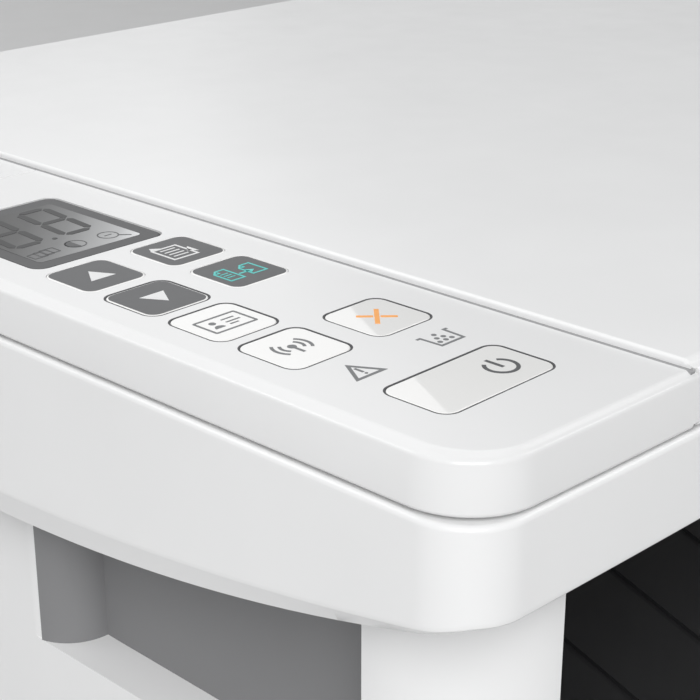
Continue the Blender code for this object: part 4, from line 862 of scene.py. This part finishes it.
def scanner():
    def lip(y):
        """How far the inner lip hangs below the wall: most along the sides, little at the front and back."""
        if y > BACK - 22.0:
            return 0.2
        return LIP_SIDE - (LIP_SIDE - LIP_FRONT) * sweep(y) ** 3

    outline = layer(BASE_R, 1.0, 48)

    def level(inset, z):
        return [(x, y, z) for x, y in outline(inset)]

    def hanging(inset, drop):
        """A ring that hangs this far below the skirt's edge. drop is a number, or a function of Y."""
        return [(x, y, skirt(y) - (drop(y) if callable(drop) else drop)) for x, y in outline(inset)]

    rows = [
        level(SHELL_T, DECK_LOW),
        hanging(SHELL_T, lambda y: lip(y) - 0.1),
        hanging(2.3, lip),
        hanging(1.25, lip),
        hanging(0.16, 0.1),
        hanging(0.0, -0.15),
        hanging(0.0, -0.9),
    ]
    for share in (0.35, 0.7):
        rows.append([(x, y, skirt(y) + (RIM_Z - 1.2 - skirt(y)) * share) for x, y in outline(0.0)])
    rows.append(level(0.0, RIM_Z - RIM_R))
    rows += [level(inset, z) for inset, z in rounding(0.0, RIM_Z - RIM_R, RIM_R, RIM_Z, 6)]
    rows.append(level(1.6, RIM_Z))
    bm = bmesh.new()
    rings = [[bm.verts.new(p) for p in row] for row in rows]
    for a, b in zip(rings, rings[1:]):
        for i in range(len(a)):
            j = (i + 1) % len(a)
            bm.faces.new((a[i], a[j], b[j], b[i]))
    bm.faces.new(rings[0][::-1])
    bm.faces.new(rings[-1])
    shell = new_object("scanner", bm)
    pan = block((-134, -104, PAN_Z), (HALF_W - 2.1, 118, RIM_Z - 1), 3.0)
    beam = block((-HALF_W + 1.5, 117, 177.8), (HALF_W - 1.5, BACK - 1.5, DECK_LOW + 0.5))
    parts = [pan, beam]
    lug_y0, lug_y1 = LIFT[0] - LIFT_R, LIFT[0] + LIFT_R
    for side in (-1, 1):
        x0, x1 = sorted((side * 150.5, side * 154.5))
        lug = arc(LIFT, LIFT_R, 180, 360, 16) + [(lug_y1, RIM_Z - 2), (lug_y0, RIM_Z - 2)]
        parts.append(prism(lug, "X", x0, x1))
        x0, x1 = sorted((side * 151.5, side * 158.4))
        parts.append(rod((x0, *LIFT), (x1, *LIFT), 3.2, 32))
    # stiffening ribs under the pan and in the hollow under the keypad
    for i in range(9):
        x = -110 + i * 32
        parts.append(block((x - 0.8, -99, PAN_Z - 1.6), (x + 0.8, 112, PAN_Z + 1)))
    for y in (-80, -40, 0, 40, 80):
        parts.append(block((-177.8, y - 0.8, DECK_LOW - 9), (-133, y + 0.8, DECK_LOW + 0.5)))
    join(shell, *parts)
    (gx0, gy0, gz0), (gx1, gy1, _) = box("platen_glass")
    cavity = block((-131.5, -101.5, PAN_Z + 2.5), (174.9, 115.5, DECK_LOW))
    aperture = block((gx0 + 2.5, gy0 + 2.5, PAN_Z + 5), (gx1 - 2.5, gy1 - 2.5, ABOVE))
    rabbet = block((gx0 - 0.3, gy0 - 0.3, gz0 - 0.3), (gx1 + 0.3, gy1 + 0.3, ABOVE), 1.5)
    step = block((-131.9, 121.8, 180.5), (HALF_W + 1, BACK + 1, ABOVE))
    cut(shell, cavity, aperture, rabbet, step)
    piece(shell, "scanner_shell", WHITE, "scanner", ["scanner_base"], 0.3, 50.0, 62.0)

    def marks(bm, z0, z1):
        """The paper size marks and the corner arrow in front of the glass."""
        for x in (gx1 - 2, gx1 - 84, gx1 - 212):
            line(bm, [(x, gy0 - 1.2), (x, gy0 - 3.0)], 0.4, z0, z1)
        area(bm, [(gx1 - 1, gy0 - 1.2), (gx1 + 1.4, gy0 - 3.6), (gx1 - 3.4, gy0 - 3.6)], z0, z1)

    ink("platen_marks", INK_GREY, "scanner", RIM_Z, marks)


scanner()


def carriage():
    low, high = box("scan_carriage")
    body = soft_block(low, high, 0.7, 2)
    lens = block((low[0] + 4, low[1] + 3, high[2] - 1.2), (low[0] + 10, high[1] - 5, high[2] + 2), 0.5)
    rail_y, rail_z = 8.0, 172.1
    bore = rod((low[0] - 3, rail_y, rail_z), (high[0] + 3, rail_y, rail_z), 2.9, 24)
    cut(body, lens, bore)
    piece(body, "carriage_body", BLACK, "carriage", ["scan_carriage"])
    bar_low, bar_high = (low[0] + 5.6, low[1] + 4, high[2] - 1.15), (low[0] + 8.4, high[1] - 6, high[2] - 0.5)
    bar = soft_block(bar_low, bar_high, 0.25, 2)
    piece(bar, "carriage_lens_array", LENS, "carriage", ())


carriage()


# ---------------------------------------------------------------- lower body
BODY_X = box("left_cover")[1][0]
BODY_LEFT, BODY_FRONT = box("left_cover")[0][0], box("left_cover")[0][1]
BIN_X = abs(BODY_X)
COVER_TOP = 175.0
WALL = 2.5


def body_outline(inset, back):
    half, front, r = abs(BODY_LEFT) - inset, BODY_FRONT + inset, 22.0 - inset
    out = arc((-half + r, front + r), r, 180, 270, 24) + arc((half - r, front + r), r, -90, 0, 24)
    return out + [(half, back), (-half, back)]


def vent(x, y0, y1, z0, pitch, count, depth, side):
    """Cutters for a block of horizontal louvres in a side wall."""
    tools = []
    for i in range(count):
        z = z0 + i * pitch
        a, b = sorted((x - side * depth, x + side * 2))
        tools.append(block((a, y0, z), (b, y1, z + pitch * 0.45), pitch * 0.2, "X", 3))
    return tools


def carry_recess(cover):
    """A recess high in the left cover, which turns in round a vertical edge, and a grey sheet inside it:
    painted shade, standing in for the shadow in the recess.
    """
    y0, y1 = BODY_FRONT + 22.0, BODY_FRONT + 106.0
    floor_z, depth, shade_sheet_t = 122.0, 9.5, 0.5
    x = BODY_LEFT + depth
    join(cover, block((BODY_LEFT + 1, y0 - 2.0, floor_z - 2.0), (x + 2.0, y1 + 2.5, COVER_TOP)))
    edge = arc((x, y1), depth, 180, 270, 16)
    outline = [(BODY_LEFT - 5, y0), (x, y0), *reversed(edge), (BODY_LEFT - 5, y1)]
    cut(cover, prism(outline, "Z", floor_z, COVER_TOP + 5))
    skin = [(x - 0.02, y0 + 0.02), *reversed(arc((x, y1), depth + 0.02, 195, 270, 14))]
    skin += [*arc((x, y1), depth + shade_sheet_t, 195, 270, 14), (x - shade_sheet_t, y0 + 0.02)]
    # painted shade: a grey sheet on the recess wall, where the recess lies in shadow
    shade_sheet = prism(skin, "Z", floor_z + 0.02, COVER_TOP - 1.0)
    piece(shade_sheet, "grip_painted_shade", PAINTED_SHADE_SHEET, "chassis", ())


def side_cover(side):
    node = "left_cover" if side < 0 else "right_cover"
    low, high = box(node)
    outer = prism(body_outline(0, high[1]), "Z", low[2], high[2])
    x0, x1 = sorted((side * BIN_X, side * 175))
    combine(outer, [block((x0, -130, 0), (x1, 130, 190))], "INTERSECT")
    inner = prism(body_outline(WALL, high[1] + 10), "Z", 0, 200)
    x0, x1 = sorted((side * (BIN_X + WALL), side * 175))
    combine(inner, [block((x0, -130, -1), (x1, 150, 201))], "INTERSECT")
    cut(outer, inner)
    x0, x1 = sorted((side * (BIN_X - 1), side * (BIN_X + WALL + 0.5)))
    window = [(-104, -1), (130, -1), (130, 201), (28, 201), (28, 136), (12, 136), (-104, 94)]
    cut(outer, prism(window, "X", x0, x1))
    cut(outer, block((-180, 112, 149), (180, 140, 200)))
    if side > 0:
        cut(outer, block((140, -106, 164.5), (180, 140, 200)))
    cut(
        outer,
        rod((x0 - 5, -118.5, 22), (x1 + 5, -118.5, 22), 2.3, 24),
        rod((x0 - 5, 20, 146), (x1 + 5, 20, 146), 2.4, 24),
    )
    if side < 0:
        carry_recess(outer)
    x = side * abs(BODY_LEFT)
    tools = vent(x, 62, 108, 96, 5.2, 8, 3, side)
    tools += vent(x, 62, 108, 26, 5.2, 5, 3, side)
    # hand hold: a long shallow pocket low in the wall, and the mould parting line above it
    a, b = sorted((x - side * 1.5, x + side * 2))
    tools.append(block((a, -52, 13), (b, 34, 24), 4.5, "X", 8))
    a, b = sorted((x - side * 0.45, x + side * 2))
    tools.append(block((a, -96, 33.4), (b, 118, 34.0)))
    cut(outer, *tools)
    piece(outer, "left_shell" if side < 0 else "right_shell", WHITE, "chassis", [node], 0.45)


for side in (-1, 1):
    side_cover(side)


def rear():
    low, high = box("rear_cover")
    door_low, door_high = box("rear_door")
    plate = block((low[0], 122.9, low[2]), high, 1.2, "Z", 4)
    bosses = [block((x, 118.7, 49.6), (x + 4, high[1] - 0.5, 60)) for x in (-114, 110)]
    join(plate, *bosses)
    opening = block((-110, 110, 49.6), (110, 130, 130.0), 1.0, "Y", 3)
    inlet = block((-140, 120, 18), (-112, 130, 38), 1.0, "Y", 3)
    port = block((118, 120, 22), (131, 130, 33.6), 0.6, "Y", 3)
    tools = [opening, inlet, port, rod((-112.6, 122.2, 54.5), (112.6, 122.2, 54.5), 1.9, 24)]
    for x0, x1 in ((-84, -20), (20, 84)):
        for i in range(6):
            tools.append(block((x0, 120, 14 + i * 5), (x1, 130, 16.2 + i * 5), 1.0, "Y", 4))
    for x in (-160, 160):
        for z in (16, 140):
            tools.append(rod((x, high[1] - 1.4, z), (x, high[1] + 2, z), 3.6, 32))
    for i in range(7):
        tools.append(block((136 + i * 4.2, 120, 104), (138 + i * 4.2, 130, 130), 0.9, "Y", 4))
    cut(plate, *tools)
    piece(plate, "rear_shell", WHITE, "chassis", ["rear_cover"], 0.35)
    for i, (x, z) in enumerate(((-160, 16), (-160, 140), (160, 16), (160, 140))):
        head = rod((x, high[1] - 1.7, z), (x, high[1] - 0.35, z), 3.0, 32)
        cut(head, block((x - 2.0, high[1] - 1.0, z - 0.4), (x + 2.0, high[1] + 1, z + 0.4)))
        cut(head, block((x - 0.4, high[1] - 1.0, z - 2.0), (x + 0.4, high[1] + 1, z + 2.0)))
        piece(head, f"rear_screw_{i + 1}", STEEL, "chassis", (), 0.12)
    door = block((door_low[0], 122.9, 52), (door_high[0], door_high[1], door_high[2]), 1.5, "Y", 4)
    lugs = [block((x, 119.6, 52), (x + 5, door_high[1] - 1, 57)) for x in (-109.4, 104.4)]
    pins = [rod((s * 105.4, 122.2, 54.5), (s * 112.0, 122.2, 54.5), 1.5, 24) for s in (-1, 1)]
    join(door, *lugs, *pins)
    y, z = door_high[1:]
    grip = block((-24, y - 1.8, z - 9), (24, y + 1, z - 3), 2.5, "Y", 6)
    cut(door, grip)
    ribs = [soft_block((-100 + i * 20, 120.2, 62), (-98.6 + i * 20, 123.2, 122), 0.3, 1) for i in range(11)]
    join(door, *ribs)
    piece(door, "rear_door_panel", WHITE, "rear_door", ["rear_door"], 0.35)


rear()


def base():
    low, high = box("base_pan")
    floor_top = low[2] + 3.0
    half, front, back, r = high[0], -121.6, high[1], 22.0
    outline = arc((-half + r, front + r), r, 180, 270, 20) + arc((half - r, front + r), r, -90, 0, 20)
    outline += arc((half - 3, back - 3), 3, 0, 90, 5) + arc((-half + 3, back - 3), 3, 90, 180, 5)
    floor = prism(outline, "Z", low[2], floor_top)
    deck_top = 20.5
    parts = [
        block((-150.2, low[1], low[2]), (150.2, low[1] + 5.5, 14.9)),
        block((-150, -111, low[2]), (150, -108.5, 19)),
        block((-125, -104, low[2]), (125, 14, deck_top)),
        prism([(10, 5), (30, 5), (30, 36), (25, 36), (14, deck_top), (10, deck_top)], "X", -112, 112),
    ]
    join(floor, *parts)
    cut(floor, block((-122.5, -101.5, 0), (122.5, 12, deck_top - WALL)))
    grooves = range(-96, 97, 24)
    tools = [block((x, -98, deck_top - 0.9), (x + 12, 4, deck_top + 1), 2.0) for x in grooves]
    tools += [rod((x, y, 0), (x, y, low[2] + 1.2), 3.4, 28) for x in (-160, 160) for y in (-60, 20, 116)]
    cut(floor, *tools)
    piece(floor, "base_shell", WHITE, "chassis", ["base_pan"], 0.35)


base()


# ---------------------------------------------------------------- paper tray, bin floor and small parts
def tray():
    low, high = box("input_tray")
    half = BIN_X - 0.6
    panel = block((-half, low[1], low[2]), (half, low[1] + 3.5, high[2]))
    shelf = block((-half, low[1], high[2] - 2.5), (half, high[1], high[2]))
    lugs = [block((x, low[1], low[2]), (x + 5, -115.5, 25)) for x in (-half, half - 5)]
    pins = [rod((s * (half - 3), -118.5, 22), (s * (half + 2.4), -118.5, 22), 1.9, 24) for s in (-1, 1)]
    ribs = [block((x - 0.7, low[1] + 3, 32), (x + 0.7, low[1] + 5.6, 86)) for x in range(-120, 121, 40)]
    join(panel, shelf, *lugs, *pins, *ribs)
    grip = block((-34, low[1] - 1, high[2] - 9.5), (34, low[1] + 2.0, high[2] - 3.0), 3.0, "Y", 8)
    crease = block((-half - 1, low[1] - 1, 31.0), (half + 1, low[1] + 0.45, 31.6))
    cut(panel, grip, crease)
    piece(panel, "tray_shell", WHITE, "tray", ["input_tray"], 0.5)


tray()

SLOPE = math.radians(19.5)
DOOR_AXIS = (20.0, 146.0)


def on_door(a, h):
    c, s = math.cos(SLOPE), math.sin(SLOPE)
    return (DOOR_AXIS[0] - a * c - h * s, DOOR_AXIS[1] - a * s + h * c)


def door_slab(a0, a1, h0, h1, x0, x1):
    return prism([on_door(a1, h0), on_door(a0, h0), on_door(a0, h1), on_door(a1, h1)], "X", x0, x1)


def bin_floor():
    half = BIN_X - 0.8
    top, length = 1.3, 138.0
    panel = door_slab(-2.2, length, top - 2.5, top, -half, half)
    parts = [door_slab(-2.2, 4, -2.4, top, x, x + 10) for x in (-half, half - 10)]
    parts.append(door_slab(length - 2.5, length, top - 4.5, top, -half, half))
    parts += [rod((s * (half - 6), *DOOR_AXIS), (s * (half + 2.6), *DOOR_AXIS), 2.0, 24) for s in (-1, 1)]
    join(panel, *parts)
    tools = []
    for i in range(10):
        x = (i - 4.5) * 26.0
        if abs(x) > 34:
            tools.append(door_slab(8, length - 5, top - 0.9, top + 1, x - 1.1, x + 1.1))
    w = 32.5
    tools.append(door_slab(length - 4 - 42.5, length - 3.5, -0.4, top + 1, -w, w))
    # a shallow finger dip in front of the stop
    tools.append(door_slab(length - 60, length - 50, top - 0.7, top + 1, -14, 14))
    cut(panel, *tools)
    piece(panel, "bin_floor_panel", BLACK, "bin_door", ["cartridge_door"], 0.25)
    flap = door_slab(length - 4 - 42, length - 4, 0.0, 1.3, -32, 32)
    cut(flap, door_slab(length - 38, length - 16, -1, 3, -22, 22))
    piece(flap, "output_stop_flap", GREY, "stop", ["output_stop"], 0.25)


bin_floor()

LOOKS = {
    "black_plastic": BLACK,
    "grey_plastic": GREY,
    "zinc_steel": STEEL,
    "rubber": RUBBER,
    "gear_plastic": ACETAL,
    "circuit_board": BOARD,
    "drum_coating": DRUM,
    "fuser_sleeve": SLEEVE,
    "glass": GLASS,
    "white_shell": WHITE,
    "lid_foam": FOAM,
    "dark_key": KEY_DARK,
    "white_key": KEY_WHITE,
    "display_lens": DISPLAY_FRAME,
}
SLOT_OF = {part["node"]: part["material_slot"] for part in frame["record"]["subparts"]}
for node, obj in frame["nodes"].items():
    look = LOOKS[SLOT_OF[node]]
    for place in obj.material_slots:
        place.link = "OBJECT"
        place.material = look
    if node not in ("platen_glass", "drum", "drive_gear", "idler_gear", "feed_gear", "motor_pinion"):
        soften(obj, 0.25, 50.0, 2)


# ---------------------------------------------------------------- studio
def studio():
    bm = bmesh.new()
    corners = [(-3.2, -3.2, 0), (3.2, -3.2, 0), (3.2, 3.2, 0), (-3.2, 3.2, 0)]
    bm.faces.new([bm.verts.new(c) for c in corners])
    mesh = bpy.data.meshes.new("floor")
    bm.to_mesh(mesh)
    bm.free()
    floor = bpy.data.objects.new("floor", mesh)
    bpy.context.scene.collection.objects.link(floor)
    pale = moulded("floor_pale", (0.55, 0.55, 0.55), 0.7, 0.1, 4.0, 0.01)
    floor.data.materials.append(pale)

    world = bpy.data.worlds.new("studio")
    bpy.context.scene.world = world
    world.use_nodes = True
    background = world.node_tree.nodes["Background"]
    background.inputs["Color"].default_value = (0.97, 0.985, 1.0, 1)
    background.inputs["Strength"].default_value = 0.25

    def softbox(name, place, target, size, power):
        light = bpy.data.lights.new(name, "AREA")
        light.shape = "RECTANGLE"
        light.size, light.size_y = size
        light.energy = power
        obj = bpy.data.objects.new(name, light)
        obj.location = place
        aim = (Vector(target) - Vector(place)).normalized()
        obj.rotation_euler = aim.to_track_quat("-Z", "Y").to_euler()
        bpy.context.scene.collection.objects.link(obj)
        return obj

    softbox("key_softbox", (-1.06, -0.96, 1.06), (-0.12, -0.1, 0.19), (1.0, 1.0), 19.5)
    softbox("right_softbox", (0.90, -0.67, 1.15), (0.0, 0.0, 0.15), (0.5, 0.5), 2.4)
    softbox("left_softbox", (-0.70, 0.86, 1.19), (0.0, 0.0, 0.15), (0.5, 0.5), 2.4)
    card = softbox("overhead_card", (0.638, 1.630, 1.006), (0.638, 1.630, 0.0), (3.0, 1.6), 15.0)
    card.rotation_euler = (0.0, 0.0, math.radians(60.97))

    view = bpy.context.scene.view_settings
    view.view_transform = "Standard"
    view.look = "None"
    view.exposure = 0.0
    view.gamma = 1.0


studio()


CAMERA_PLACE = (-323.4, -242.2, 286.0)
CAMERA_HEADING = 46.47  # degrees from +Y towards +X
CAMERA_DOWN = 21.78
CAMERA_LENS = 84.45


def camera():
    """The camera stands close to the front left corner and looks down across the keypad."""
    data = bpy.data.cameras.new("camera")
    data.sensor_width = 36.0
    data.lens = CAMERA_LENS
    data.clip_start = 0.01
    obj = bpy.data.objects.new("camera", data)
    place = Vector(CAMERA_PLACE) * MM
    heading, down = math.radians(CAMERA_HEADING), math.radians(CAMERA_DOWN)
    forward = Vector(
        (math.sin(heading) * math.cos(down), math.cos(heading) * math.cos(down), -math.sin(down))
    )
    obj.location = place
    obj.rotation_euler = forward.to_track_quat("-Z", "Y").to_euler()
    bpy.context.scene.collection.objects.link(obj)
    bpy.context.scene.camera = obj


camera()

bpy.context.view_layer.update()
